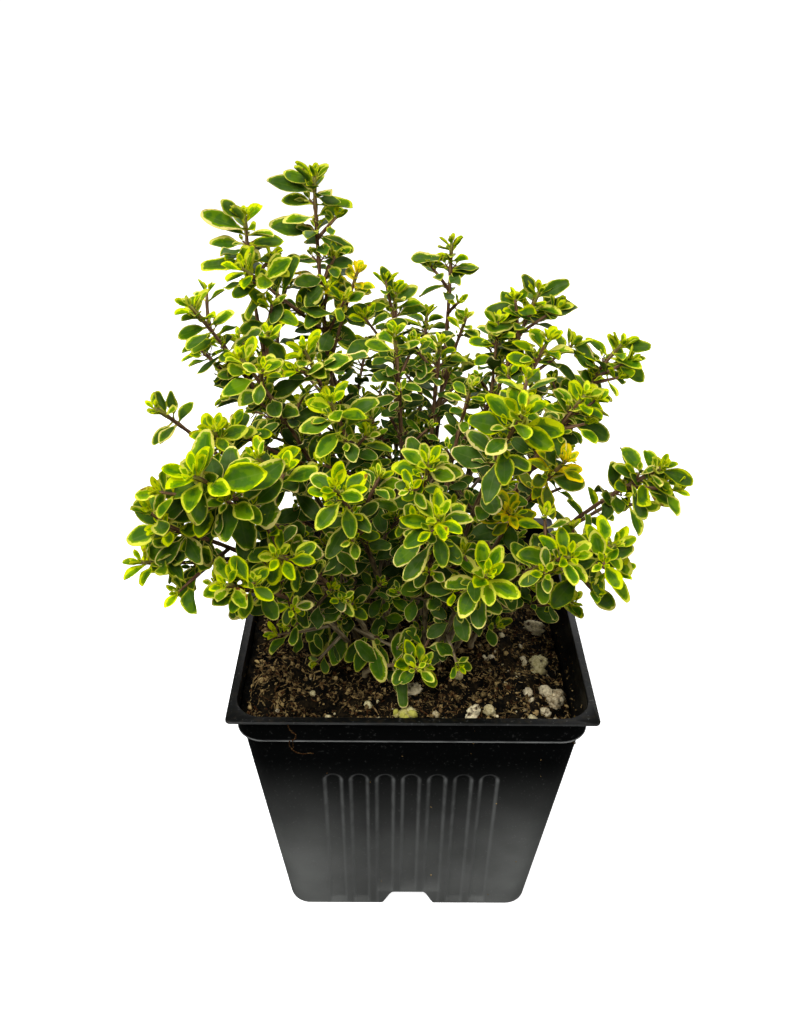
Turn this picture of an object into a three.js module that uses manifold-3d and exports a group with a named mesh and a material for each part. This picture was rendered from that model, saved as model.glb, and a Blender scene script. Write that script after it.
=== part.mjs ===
// Potted variegated thyme: a square black nursery pot, filled with dark peat soil
// that carries pale grains, and the leafy, woody stems that stand in it.
// Millimetres, +Z up. The origin is the middle of the pot's foot, and -Y is its front.
import * as THREE from "three";
import { mergeVertices } from "three/addons/utils/BufferGeometryUtils.js";
import Module from "manifold-3d";

const wasm = await Module();
wasm.setup();

// ---- Driving dimensions: the pot ----
const RIM_WIDTH = 89; // across the flange
const POT_HEIGHT = 83;
const FLANGE = 0.9; // thickness of the flange
const COLLAR_WIDTH = 86; // the band under the flange
const COLLAR_DROP = 8;
const WALL_TOP_WIDTH = 84; // the tapered wall, just under the collar
const FOOT_WIDTH = 68.6;
const WALL = 1.1;
const RIM_CORNER = 1.4;
const COLLAR_CORNER = 7;
const FOOT_CORNER = 6;
const FOOT_ROUNDING = 0.6;
const CORNER_STEPS = 3;

const FLUTES = 7; // grooves on each side
const FLUTE_PITCH = 6.6;
const FLUTE_WIDTH = 4.2;
const FLUTE_DEPTH = 0.5;
const FLUTE_TOP = 60.9; // height of the groove's round top above the foot

const NOTCH_FOOT = 16; // drainage channel in the middle of each side of the foot
const NOTCH_TOP = 8.4;
const NOTCH_HEIGHT = 5.6;
const NOTCH_REACH = 11; // how far it runs in under the pot
const DRAIN_RADIUS = 2.2;

// ---- Driving dimensions: the soil and its grains ----
const CLEARANCE = 0.3; // gap between pieces that touch
const SOIL_LEVEL = 77;
const SOIL_DIP = 7; // the soil has sunk along the right wall
const SOIL_RINGS = [1, 0.87, 0.7, 0.5, 0.28];

// Pale grains that lie on the soil: centre, half sizes and turn.
const GRAINS = [
  { name: "grain_front_right", at: [37, -26], size: [4, 3, 2.4], turn: 20 },
  { name: "grain_right", at: [35, 4], size: [1.7, 3.2, 2], turn: 70 },
  { name: "grain_olive", at: [33.5, -14], size: [3, 2.6, 2.2], turn: 40 },
  { name: "grain_middle", at: [0, -27.5], size: [2.6, 1.9, 1.6], turn: 0 },
  { name: "grain_green", at: [-2, -36.5], size: [3.6, 1.8, 1.6], turn: 10 },
  { name: "grain_shard", at: [15, -36], size: [2.2, 1.4, 1.8], turn: 50 },
];

// ---- Driving dimensions: the thyme ----
const ROOT_DEPTH = 11;
const ROOT_RISE = 1.6; // a stem leaves the soil straight up for this far
const STEM_SIDES = 4; // thyme stems are square
const STEM_RADIUS = 1;
const STEM_STEPS = 4;
const TWIG_RADIUS = 0.75;
const TWIG_STEPS = 2;
const TIP_RADIUS = 0.6;
const BLADE_THICKNESS = 0.6;
const BLADE_WIDTH = 0.5; // of its length
const BLADE_SPREAD = 0.5; // where the blade is widest, of its length
const BLADE_BLUNT = 0.45; // width of its blunt tip, of the widest
const BLADE_SEAT = 0.3; // the root starts this far off the stem's middle

// The pairs of leaves on a shoot, from its tip down: distance back from the tip in mm,
// length as a share of the shoot's longest leaf, angle open from the stem in degrees,
// and how far the leaf arches back.
const PAIRS = [
  { back: 0.7, size: 0.55, open: 24, arch: -0.04 },
  { back: 2.8, size: 0.86, open: 46, arch: 0.03 },
  { back: 6.4, size: 1.0, open: 60, arch: 0.08 },
  { back: 12.5, size: 0.96, open: 66, arch: 0.1 },
  { back: 20, size: 0.9, open: 70, arch: 0.12 },
];
const LEAF_TURNS = [0, 25, -25, 50, -50]; // a leaf turns about its stem to clear others
const LEAF_TWIST = 56; // range of its twist about its own length, in degrees

// How a stem bends: share of its way out and of its rise where its bend lies.
const LEANING = { out: 0.35, up: 0.62 }; // up first, then more and more outwards
const UPRIGHT = { out: 1, up: 0.45 }; // outwards low down, then up

// Each stem stands in the soil at root and ends at tip. leaf is the length of its longest
// leaves, turn the angle of its first pair, pairs the number of pairs. Its shoots leave it
// at a share of its length.
const STEMS = [
  { name: "stem_top_left", root: [-9, 7], tip: [-24, 22, 192], bend: UPRIGHT, leaf: 9, turn: -10, pairs: 5, shoots: [
    { at: 0.67, tip: [-40, 7, 175], leaf: 8.5, turn: 5, pairs: 3 },
    { at: 0.6, tip: [-14, 17, 171], leaf: 6.5, turn: 30, pairs: 3 },
  ] },
  { name: "stem_left_tall", root: [-14, 5], tip: [-40, 17, 184], bend: UPRIGHT, leaf: 8, turn: 15, pairs: 4, shoots: [
    { at: 0.62, tip: [-31, 26, 170], leaf: 5.5, turn: 40, pairs: 2 },
  ] },
  { name: "stem_left_upper", root: [-13, 0], tip: [-50, -6, 171], leaf: 7, turn: 0, pairs: 4, shoots: [
    { at: 0.7, tip: [-53, 4, 159], leaf: 6.5, turn: 60, pairs: 3 },
  ] },
  { name: "stem_left_middle", root: [-10, -4], tip: [-38, -16, 163], leaf: 7.5, turn: 20, pairs: 4, shoots: [
    { at: 0.62, tip: [-41, -23, 150], leaf: 6, turn: 0, pairs: 3 },
  ] },
  { name: "stem_centre_left", root: [-6, -1], tip: [-25, -11, 163], leaf: 8, turn: 0, pairs: 4, shoots: [
    { at: 0.5, tip: [-28, 8, 140], leaf: 7, turn: 45, pairs: 2 },
  ] },
  { name: "stem_centre_front", root: [-4, -6], tip: [-19, -20, 155], leaf: 8.5, turn: 10, pairs: 4, shoots: [
    { at: 0.55, tip: [-9, -22, 136], leaf: 7, turn: 45, pairs: 2 },
  ] },
  { name: "stem_centre", root: [-1, 1], tip: [-5, 3, 161], leaf: 7, turn: 45, pairs: 4, shoots: [
    { at: 0.5, tip: [-11, 6, 138], leaf: 7, turn: 20, pairs: 2 },
  ] },
  { name: "stem_centre_back", root: [-4, 8], tip: [-5, 23, 164], leaf: 7.5, turn: 20, pairs: 3, shoots: [] },
  { name: "stem_far_left", root: [-15, -6], tip: [-57, -20, 153], leaf: 6, turn: 60, pairs: 3, shoots: [
    { at: 0.32, tip: [-33, -12, 106], leaf: 7, turn: 45, pairs: 2 },
    { at: 0.7, tip: [-43, -28, 152], leaf: 7, turn: 30, pairs: 3 },
  ] },
  { name: "stem_left_front", root: [-9, -9], tip: [-34, -31, 147], leaf: 7.5, turn: 50, pairs: 3, shoots: [] },
  { name: "stem_top_middle", root: [0, 10], tip: [9, 30, 174], bend: UPRIGHT, leaf: 6.5, turn: 0, pairs: 4, shoots: [
    { at: 0.62, tip: [13, 22, 158], leaf: 5, turn: 20, pairs: 2 },
  ] },
  { name: "stem_middle_right", root: [2.5, 4], tip: [6, 10, 156], leaf: 7, turn: 30, pairs: 3, shoots: [
    { at: 0.5, tip: [15, 8, 134], leaf: 7, turn: 60, pairs: 2 },
  ] },
  { name: "stem_inner_right", root: [4, -1], tip: [13, -2, 150], leaf: 6, turn: 45, pairs: 3, shoots: [] },
  { name: "stem_top_right", root: [8, 7], tip: [30, 18, 166], leaf: 7.5, turn: 10, pairs: 4, shoots: [
    { at: 0.6, tip: [20, 14, 160], leaf: 7.5, turn: 0, pairs: 3 },
  ] },
  { name: "stem_right_upper", root: [10, 2], tip: [31, 3, 160], leaf: 7.5, turn: 30, pairs: 3, shoots: [
    { at: 0.6, tip: [24, -8, 150], leaf: 7, turn: 0, pairs: 2 },
  ] },
  { name: "stem_far_right_upper", root: [14, 5], tip: [50, 10, 156], leaf: 8, turn: 0, pairs: 4, shoots: [] },
  { name: "stem_right_middle", root: [12, -3], tip: [38, -12, 153], leaf: 7.5, turn: 0, pairs: 4, shoots: [] },
  { name: "stem_near_right", root: [7, -10], tip: [20, -41, 163], leaf: 9.8, turn: 0, pairs: 4, shoots: [] },
  { name: "stem_front_upper", root: [1, -9], tip: [2, -38, 150], leaf: 7.5, turn: 45, pairs: 4, shoots: [] },
  { name: "stem_front", root: [3, -13], tip: [4, -46, 142], leaf: 7.8, turn: 45, pairs: 4, shoots: [] },
  { name: "stem_right_inner", root: [11, -7], tip: [34, -19, 140], leaf: 7, turn: 40, pairs: 4, shoots: [
    { at: 0.62, tip: [20, -31, 134], leaf: 6, turn: 10, pairs: 3 },
  ] },
  { name: "stem_front_left", root: [-5, -12], tip: [-17, -43, 147], leaf: 7.5, turn: 45, pairs: 4, shoots: [] },
  { name: "stem_near_left", root: [-13, -12], tip: [-43, -52, 155], leaf: 10.5, turn: 0, pairs: 4, shoots: [] },
  { name: "stem_front_left_low", root: [-9, -15], tip: [-29, -47, 133], leaf: 7, turn: 30, pairs: 3, shoots: [] },
  { name: "stem_far_left_low", root: [-17, -10], tip: [-52, -47, 140], leaf: 6.5, turn: 20, pairs: 4, shoots: [
    { at: 0.66, tip: [-58, -44, 129], leaf: 7, turn: 0, pairs: 3 },
  ] },
  { name: "stem_left_low", root: [-14, -17], tip: [-39, -53, 130], leaf: 7.5, turn: 30, pairs: 3, shoots: [] },
  { name: "stem_trailing_front", root: [-12, -22], tip: [3, -31, 89], leaf: 7.5, turn: 60, pairs: 3, shoots: [] },
  { name: "stem_front_right_low", root: [7, -16], tip: [15, -45, 127], leaf: 9, turn: 10, pairs: 4, shoots: [] },
  { name: "stem_right_front", root: [12, -12], tip: [32, -45, 132], leaf: 7.8, turn: 0, pairs: 4, shoots: [] },
  { name: "stem_right_low", root: [16, -10], tip: [43, -38, 130], leaf: 8, turn: 20, pairs: 4, shoots: [
    { at: 0.3, tip: [38, -27, 106], leaf: 7, turn: 45, pairs: 2 },
  ] },
  { name: "stem_far_right", root: [16, -5], tip: [57, -15, 136], leaf: 8, turn: 0, pairs: 4, shoots: [] },
  { name: "stem_side_left", root: [-18, 3], tip: [-54, 8, 122], leaf: 8, turn: 30, pairs: 4, shoots: [] },
  { name: "stem_side_right", root: [19, 2], tip: [51, 6, 112], leaf: 8, turn: 30, pairs: 4, shoots: [] },
  { name: "stem_back_left", root: [-12, 11], tip: [-46, 30, 148], leaf: 8, turn: 0, pairs: 3, shoots: [
    { at: 0.6, tip: [-52, 38, 130], leaf: 7.5, turn: 40, pairs: 3 },
  ] },
  { name: "stem_back_inner_left", root: [-7, 13], tip: [-28, 46, 148], leaf: 8, turn: 20, pairs: 3, shoots: [
    { at: 0.35, tip: [-34, 52, 114], leaf: 7.5, turn: 0, pairs: 2 },
    { at: 0.55, tip: [-13, 50, 138], leaf: 7.5, turn: 0, pairs: 3 },
  ] },
  { name: "stem_back_middle", root: [0, 15], tip: [4, 50, 148], leaf: 8, turn: 45, pairs: 3, shoots: [
    { at: 0.35, tip: [-3, 60, 114], leaf: 7.5, turn: 45, pairs: 2 },
    { at: 0.5, tip: [16, 56, 130], leaf: 7.5, turn: 10, pairs: 3 },
  ] },
  { name: "stem_back_right", root: [9, 13], tip: [28, 44, 145], leaf: 8, turn: 10, pairs: 3, shoots: [
    { at: 0.35, tip: [34, 56, 108], leaf: 7.5, turn: 20, pairs: 2 },
    { at: 0.55, tip: [41, 45, 129], leaf: 7.5, turn: 40, pairs: 3 },
  ] },
  { name: "stem_back_far_right", root: [16, 9], tip: [49, 30, 136], leaf: 8, turn: 30, pairs: 3, shoots: [] },
];

// ---- Solids ----
const radians = THREE.MathUtils.degToRad;

function geometry(points, faces) {
  return new THREE.BufferGeometry()
    .setAttribute("position", new THREE.Float32BufferAttribute(points.flat(), 3))
    .setIndex(faces.flat());
}

function solid(source) {
  const bare = source.clone().deleteAttribute("normal").deleteAttribute("uv");
  const merged = mergeVertices(bare, 1e-4);
  return new wasm.Manifold(new wasm.Mesh({
    numProp: 3,
    vertProperties: new Float32Array(merged.attributes.position.array),
    triVerts: new Uint32Array(merged.index.array),
  }));
}

function geometryOf(manifold) {
  const mesh = manifold.getMesh();
  return new THREE.BufferGeometry()
    .setAttribute("position", new THREE.BufferAttribute(mesh.vertProperties, 3))
    .setIndex(new THREE.BufferAttribute(mesh.triVerts, 1));
}

// Closed skin through rings of points that all have the same count, bottom ring first.
// A ring that holds one point closes the skin there; other ends get a flat cap.
function loft(rings) {
  const count = Math.max(...rings.map((ring) => ring.length));
  const points = rings.flat();
  const faces = [];
  const starts = [];
  rings.reduce((sum, ring) => (starts.push(sum), sum + ring.length), 0);
  for (let r = 0; r + 1 < rings.length; r++) {
    for (let i = 0; i < count; i++) {
      const next = (i + 1) % count;
      const [a, b] = [starts[r] + i, starts[r] + next];
      if (rings[r + 1].length === 1) {
        faces.push([a, b, starts[r + 1]]);
        continue;
      }
      const [c, d] = [starts[r + 1] + next, starts[r + 1] + i];
      faces.push([a, b, c], [a, c, d]);
    }
  }
  for (let i = 1; i + 1 < count; i++) {
    faces.push([0, i + 1, i]);
    if (rings.at(-1).length > 1) faces.push([starts.at(-1), starts.at(-1) + i, starts.at(-1) + i + 1]);
  }
  return geometry(points, faces);
}

// Outline of a square with rounded corners, as [x, y] points from the middle.
function roundedSquare(half, corner) {
  const outline = [];
  for (let quarter = 0; quarter < 4; quarter++) {
    const [sx, sy] = [[1, 1], [-1, 1], [-1, -1], [1, -1]][quarter];
    for (let step = 0; step <= CORNER_STEPS; step++) {
      const angle = (quarter + step / CORNER_STEPS) * (Math.PI / 2);
      outline.push([
        sx * (half - corner) + corner * Math.cos(angle),
        sy * (half - corner) + corner * Math.sin(angle),
      ]);
    }
  }
  return outline;
}

const ringAt = (half, corner, z) => roundedSquare(half, corner).map(([x, y]) => [x, y, z]);

function box(width, depth, height, x, y, z) {
  return new THREE.BoxGeometry(width, depth, height).translate(x, y, z);
}

// ---- The pot ----
const WALL_TOP = POT_HEIGHT - COLLAR_DROP;
const WALL_SLOPE = Math.atan((WALL_TOP_WIDTH - FOOT_WIDTH) / 2 / (WALL_TOP - FOOT_ROUNDING));
const SIDES = [0, 1, 2, 3].map((side) => new THREE.Matrix4().makeRotationZ((side * Math.PI) / 2));

// Half width and corner radius of the inside of the wall at a height.
function insideAt(z) {
  const share = THREE.MathUtils.clamp((z - WALL) / (WALL_TOP - WALL), 0, 1);
  return {
    half: THREE.MathUtils.lerp(FOOT_WIDTH / 2, WALL_TOP_WIDTH / 2, share) - WALL,
    corner: THREE.MathUtils.lerp(FOOT_CORNER, COLLAR_CORNER, share) - WALL,
  };
}

function potShell() {
  const foot = FOOT_WIDTH / 2;
  const wall = WALL_TOP_WIDTH / 2;
  const collar = COLLAR_WIDTH / 2;
  const inner = insideAt(WALL_TOP);
  const lip = 0.4; // rounding of the collar's lower edge
  const floor = insideAt(WALL);
  return solid(loft([
    ringAt(foot - FOOT_ROUNDING, FOOT_CORNER - FOOT_ROUNDING, 0),
    ringAt(foot, FOOT_CORNER, FOOT_ROUNDING),
    ringAt(wall, COLLAR_CORNER, WALL_TOP),
    ringAt(collar - lip, COLLAR_CORNER, WALL_TOP + lip / 2),
    ringAt(collar, COLLAR_CORNER, WALL_TOP + 2 * lip),
    ringAt(collar, COLLAR_CORNER, POT_HEIGHT - FLANGE),
    ringAt(RIM_WIDTH / 2, RIM_CORNER, POT_HEIGHT - FLANGE),
    ringAt(RIM_WIDTH / 2, RIM_CORNER, POT_HEIGHT),
    ringAt(collar - WALL / 2, COLLAR_CORNER, POT_HEIGHT),
    ringAt(collar - WALL, COLLAR_CORNER - WALL, POT_HEIGHT - FLANGE),
    ringAt(collar - WALL, COLLAR_CORNER - WALL, WALL_TOP + 4 * lip),
    ringAt(inner.half, inner.corner, WALL_TOP),
    ringAt(floor.half, floor.corner, WALL),
  ]));
}

// A groove with a round top, lying in the plane of the front wall.
function fluteCutter(offset) {
  const radius = FLUTE_WIDTH / 2;
  const top = (FLUTE_TOP - FOOT_ROUNDING) / Math.cos(WALL_SLOPE) - radius;
  const past = 3; // cuts through the foot's edge and the wall's face
  const outline = new THREE.Shape();
  outline.moveTo(offset + radius, -past);
  outline.lineTo(offset + radius, top);
  outline.absarc(offset, top, radius, 0, Math.PI, false);
  outline.lineTo(offset - radius, -past);
  const groove = new THREE.ExtrudeGeometry(outline, {
    depth: FLUTE_DEPTH + past, bevelEnabled: false, curveSegments: 3,
  });
  groove.translate(0, 0, -FLUTE_DEPTH);
  groove.rotateX(Math.PI / 2 + WALL_SLOPE);
  return groove.translate(0, -FOOT_WIDTH / 2, FOOT_ROUNDING);
}

// The drainage channel of the front side, or with a positive skin its hump inside the pot.
function channel(skin) {
  const outline = new THREE.Shape();
  const low = skin > 0 ? WALL / 2 : -1;
  outline.moveTo(-NOTCH_FOOT / 2 - skin, low);
  outline.lineTo(NOTCH_FOOT / 2 + skin, low);
  outline.lineTo(NOTCH_FOOT / 2 - 1.5 + skin, NOTCH_HEIGHT * 0.6 + skin);
  outline.lineTo(NOTCH_TOP / 2 + skin / 2, NOTCH_HEIGHT + skin);
  outline.lineTo(-NOTCH_TOP / 2 - skin / 2, NOTCH_HEIGHT + skin);
  outline.lineTo(-NOTCH_FOOT / 2 + 1.5 - skin, NOTCH_HEIGHT * 0.6 + skin);
  const outside = skin > 0 ? -WALL / 2 : 2;
  const run = new THREE.ExtrudeGeometry(outline, {
    depth: NOTCH_REACH + outside + skin, bevelEnabled: false,
  });
  run.rotateX(Math.PI / 2);
  return run.translate(0, -FOOT_WIDTH / 2 + NOTCH_REACH + skin, 0);
}

function drainHole() {
  const hole = new THREE.CylinderGeometry(DRAIN_RADIUS, DRAIN_RADIUS, 4 * NOTCH_HEIGHT, 8);
  hole.rotateX(Math.PI / 2);
  return hole.translate(0, -FOOT_WIDTH / 2 + NOTCH_REACH - DRAIN_RADIUS - 1.2, 0);
}

function pot() {
  let shell = potShell();
  for (const side of SIDES) shell = shell.add(solid(channel(WALL).applyMatrix4(side)));
  for (const side of SIDES) {
    shell = shell.subtract(solid(channel(0).applyMatrix4(side)));
    shell = shell.subtract(solid(drainHole().applyMatrix4(side)));
    for (let k = 0; k < FLUTES; k++) {
      const offset = (k - (FLUTES - 1) / 2) * FLUTE_PITCH;
      shell = shell.subtract(solid(fluteCutter(offset).applyMatrix4(side)));
    }
  }
  return shell;
}

// ---- The soil and its grains ----
// Height of the soil: crumbly, and sunk along the right wall.
function soilHeight(x, y) {
  const sunk = SOIL_DIP * THREE.MathUtils.smoothstep(x + 0.15 * y, 20, 40);
  const clods = 0.55 * Math.sin(0.42 * x + 1.3) * Math.cos(0.36 * y - 0.4);
  const crumbs = 0.35 * Math.sin(1.05 * x + 0.6) * Math.sin(0.9 * y + 1.1);
  return SOIL_LEVEL - sunk + clods + crumbs;
}

function grain({ at, size, turn }) {
  const lump = new THREE.IcosahedronGeometry(1, 0);
  lump.scale(...size);
  lump.rotateZ(radians(turn));
  return lump.translate(at[0], at[1], soilHeight(...at) + 0.3 * size[2]);
}

// The hole that a stem stands in.
function stemHole([x, y]) {
  const width = 2 * STEM_RADIUS + CLEARANCE;
  const length = 2 * ROOT_DEPTH;
  return box(width, width, length, x, y, soilHeight(x, y) - ROOT_DEPTH - CLEARANCE + length / 2);
}

function soil() {
  const bottom = WALL + CLEARANCE;
  const low = insideAt(bottom);
  const rings = [ringAt(low.half - CLEARANCE, low.corner - CLEARANCE, bottom)];
  for (const share of SOIL_RINGS) {
    const level = insideAt(SOIL_LEVEL - SOIL_DIP);
    const outline = roundedSquare(level.half - CLEARANCE, level.corner - CLEARANCE);
    rings.push(outline.map(([x, y]) => {
      const z = soilHeight(x * share, y * share);
      const wider = share === 1 ? insideAt(Math.min(z, WALL_TOP)).half / level.half : share;
      return [x * wider, y * wider, z];
    }));
  }
  rings.push([[0, 0, soilHeight(0, 0)]]);
  let body = solid(loft(rings));
  for (const side of SIDES) body = body.subtract(solid(channel(WALL + CLEARANCE).applyMatrix4(side)));
  for (const lump of GRAINS) {
    const grown = lump.size.map((half) => half + 1.6 * CLEARANCE);
    const seat = grain({ ...lump, size: grown });
    seat.translate(0, 0, 0.3 * (lump.size[2] - grown[2]));
    body = body.subtract(solid(seat));
  }
  for (const stem of STEMS) body = body.subtract(solid(stemHole(stem.root)));
  return body;
}

// ---- The thyme ----
// Repeatable random numbers between 0 and 1.
function seeded(seed) {
  let state = seed >>> 0;
  return () => {
    state = (state + 0x6d2b79f5) >>> 0;
    let mixed = Math.imul(state ^ (state >>> 15), state | 1);
    mixed ^= mixed + Math.imul(mixed ^ (mixed >>> 7), mixed | 61);
    return ((mixed ^ (mixed >>> 14)) >>> 0) / 4294967296;
  };
}

// A curve as straight stretches, so that leaves and shoots start inside their stem's rod.
function stretches(curve, steps) {
  const points = curve.getPoints(steps);
  const path = new THREE.CurvePath();
  for (let i = 0; i < steps; i++) path.add(new THREE.LineCurve3(points[i], points[i + 1]));
  return path;
}

// The line of a stem from just above the soil to its tip.
function stemCurve({ root: [x, y], tip, bend = LEANING }) {
  const start = new THREE.Vector3(x, y, soilHeight(x, y) + ROOT_RISE);
  const end = new THREE.Vector3(...tip);
  const knee = new THREE.Vector3(
    THREE.MathUtils.lerp(start.x, end.x, bend.out),
    THREE.MathUtils.lerp(start.y, end.y, bend.out),
    THREE.MathUtils.lerp(start.z, end.z, bend.up),
  );
  return stretches(new THREE.QuadraticBezierCurve3(start, knee, end), STEM_STEPS);
}

// A side shoot leaves the stem outwards and turns up.
function shootCurve(parent, at, tip) {
  const start = parent.getPoint(at);
  const end = new THREE.Vector3(...tip);
  const knee = start.clone().lerp(end, 0.5);
  knee.addScaledVector(parent.getTangent(at), 0.12 * start.distanceTo(end));
  knee.z -= 0.1 * start.distanceTo(end);
  return stretches(new THREE.QuadraticBezierCurve3(start, knee, end), TWIG_STEPS);
}

// A tapered rod through points, square in section, with faces towards turn and across it.
function rod(points, radii, turn) {
  const across = new THREE.Vector3(1, 0, 0);
  const rings = points.map((point, i) => {
    const before = points[Math.max(i - 1, 0)];
    const after = points[Math.min(i + 1, points.length - 1)];
    const along = after.clone().sub(before).normalize();
    across.addScaledVector(along, -across.dot(along)).normalize();
    const beside = along.clone().cross(across);
    return Array.from({ length: STEM_SIDES }, (_, side) => {
      const angle = ((side + 0.5) / STEM_SIDES) * 2 * Math.PI + radians(turn);
      return point.clone()
        .addScaledVector(across, radii[i] * Math.cos(angle))
        .addScaledVector(beside, radii[i] * Math.sin(angle))
        .toArray();
    });
  });
  return solid(loft(rings));
}

function rodAlong(path, radius, turn, below) {
  const points = [path.curves[0].v1, ...path.curves.map((stretch) => stretch.v2)];
  const radii = points.map((_, i) => THREE.MathUtils.lerp(radius, TIP_RADIUS, i / path.curves.length));
  if (below) {
    points.unshift(points[0].clone().setZ(points[0].z - ROOT_RISE - ROOT_DEPTH + CLEARANCE));
    radii.unshift(radius);
  }
  return rod(points, radii, turn);
}

// A leaf: a thin arched blade, pointed at its root and blunt at its tip. along runs out
// along the leaf and face is the way its upper side looks. grow makes it larger all round.
function blade({ root, along, face, length, arch }, grow = 0) {
  const side = face.clone().cross(along);
  const width = BLADE_WIDTH * length + 2 * grow;
  const reach = length + grow;
  const spot = (share, across) => root.clone()
    .addScaledVector(along, share * reach)
    .addScaledVector(face, BLADE_THICKNESS / 2 + grow - arch * reach * share * share)
    .addScaledVector(side, across * width);
  const upper = [
    spot(0, 0),
    spot(BLADE_SPREAD, -0.5),
    spot(1, -0.5 * BLADE_BLUNT),
    spot(1, 0.5 * BLADE_BLUNT),
    spot(BLADE_SPREAD, 0.5),
  ];
  const lower = upper.map((point) => point.clone().addScaledVector(face, -BLADE_THICKNESS - 2 * grow));
  const count = upper.length;
  const faces = [[0, 1, 4], [1, 2, 3], [1, 3, 4]];
  const turned = faces.map(([a, b, c]) => [count + a, count + c, count + b]);
  for (let i = 0; i < count; i++) {
    const next = (i + 1) % count;
    turned.push([i, count + i, count + next], [i, count + next, next]);
  }
  return solid(geometry([...upper, ...lower].map((point) => point.toArray()), [...faces, ...turned]));
}

// The leaves of one shoot, in crossed pairs, as lists of the turns that each may take.
function leavesOf(curve, { leaf, turn, pairs }, random) {
  const length = curve.getLength();
  const leaves = [];
  for (let pair = 0; pair < pairs; pair++) {
    const { back, size, open, arch } = PAIRS[pair];
    const at = Math.max(1 - back / length, 0.2);
    const centre = curve.getPoint(at);
    const axis = curve.getTangent(at);
    const right = new THREE.Vector3(1, 0, 0).addScaledVector(axis, -axis.x).normalize();
    const skew = 20 * (random() - 0.5);
    for (const half of [0, 180]) {
      const long = leaf * size * (0.88 + 0.24 * random());
      const lean = radians(open + 16 * (random() - 0.5));
      const twist = radians(LEAF_TWIST * (random() - 0.5));
      leaves.push(LEAF_TURNS.map((extra) => {
        const angle = radians(turn + 90 * pair + half + skew + extra);
        const out = right.clone().applyAxisAngle(axis, angle);
        const along = axis.clone().multiplyScalar(Math.cos(lean)).addScaledVector(out, Math.sin(lean));
        const face = axis.clone().multiplyScalar(Math.sin(lean)).addScaledVector(out, -Math.cos(lean));
        face.applyAxisAngle(along, twist);
        return { root: centre.clone().addScaledVector(out, BLADE_SEAT), along, face, length: long, arch };
      }));
    }
  }
  return leaves;
}
const crosses = (solidA, solidB) => !solidA.intersect(solidB).isEmpty();

function boxesMeet(a, b) {
  return [0, 1, 2].every((axis) => a.min[axis] <= b.max[axis] && b.min[axis] <= a.max[axis]);
}

// Every stem with its side shoots and leaves as one solid. A leaf that would touch another
// piece is turned about its stem, and left out where no turn clears it.
function thyme(fixed) {
  const taken = fixed.map((other) => ({ stem: null, solid: other, box: other.boundingBox() }));
  const keep = (stem, part) => {
    taken.push({ stem, solid: part, box: part.boundingBox() });
    return part;
  };
  const plants = STEMS.map((stem) => {
    const main = stemCurve(stem);
    const curves = [main, ...stem.shoots.map(({ at, tip }) => shootCurve(main, at, tip))];
    const rods = curves.map((curve, i) => (
      i
        ? rodAlong(curve, TWIG_RADIUS, stem.shoots[i - 1].turn, false)
        : rodAlong(curve, STEM_RADIUS, stem.turn, true)
    ));
    rods.forEach((part) => keep(stem, part));
    return { stem, curves, parts: rods };
  });
  let seed = 0;
  for (const { stem, curves, parts } of plants) {
    curves.forEach((curve, i) => {
      const shoot = i ? stem.shoots[i - 1] : stem;
      for (const turns of leavesOf(curve, shoot, seeded(++seed))) {
        const clear = turns.find((leaf) => {
          const test = blade(leaf, CLEARANCE);
          const reach = test.boundingBox();
          return !taken.some((other) => (
            other.stem !== stem && boxesMeet(reach, other.box) && crosses(test, other.solid)
          ));
        });
        if (clear) parts.push(keep(stem, blade(clear)));
      }
    });
  }
  return plants.map(({ stem, parts }) => ({ name: stem.name, body: wasm.Manifold.union(parts) }));
}

// ---- Assembly ----
const black = new THREE.MeshStandardMaterial({ color: 0x141516, roughness: 0.42, metalness: 0 });
const peat = new THREE.MeshStandardMaterial({ color: 0x2c1d12, roughness: 0.95, metalness: 0 });
const pale = new THREE.MeshStandardMaterial({ color: 0xb9a98c, roughness: 0.8, metalness: 0 });
const foliage = new THREE.MeshStandardMaterial({ color: 0x5f8a1e, roughness: 0.5, metalness: 0 });

const plant = new THREE.Group();

function place(name, body, material) {
  const mesh = new THREE.Mesh(geometryOf(body), material);
  mesh.name = name;
  plant.add(mesh);
}

const potBody = pot();
const soilBody = soil();
const grains = GRAINS.map((lump) => ({ name: lump.name, body: solid(grain(lump)) }));
place("pot", potBody, black);
place("soil", soilBody, peat);
grains.forEach(({ name, body }) => place(name, body, pale));
const fixed = [potBody, soilBody, ...grains.map(({ body }) => body)];
thyme(fixed).forEach(({ name, body }) => place(name, body, foliage));

export default plant;
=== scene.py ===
"""Potted variegated thyme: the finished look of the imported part.

Sizes here are in millimetres and angles in degrees, as in the part's source. Surface.mesh
turns lengths into metres. +Z is up, -Y is the front, the origin is the middle of the foot.
"""

import math

import bpy
import numpy as np
from mathutils import Matrix, Vector
from mathutils.kdtree import KDTree


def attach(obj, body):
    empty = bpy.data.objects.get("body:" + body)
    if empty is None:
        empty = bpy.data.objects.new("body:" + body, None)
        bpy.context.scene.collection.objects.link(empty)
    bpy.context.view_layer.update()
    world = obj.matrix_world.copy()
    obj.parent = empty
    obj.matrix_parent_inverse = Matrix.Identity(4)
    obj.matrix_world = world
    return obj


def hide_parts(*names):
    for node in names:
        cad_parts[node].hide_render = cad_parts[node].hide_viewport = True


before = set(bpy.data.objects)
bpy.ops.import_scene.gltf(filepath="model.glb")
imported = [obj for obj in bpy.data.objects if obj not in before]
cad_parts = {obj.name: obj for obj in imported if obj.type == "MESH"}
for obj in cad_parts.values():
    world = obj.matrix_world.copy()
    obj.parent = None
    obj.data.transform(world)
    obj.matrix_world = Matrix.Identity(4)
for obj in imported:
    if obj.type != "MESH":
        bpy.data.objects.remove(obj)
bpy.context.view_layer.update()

MM = 0.001

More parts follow.
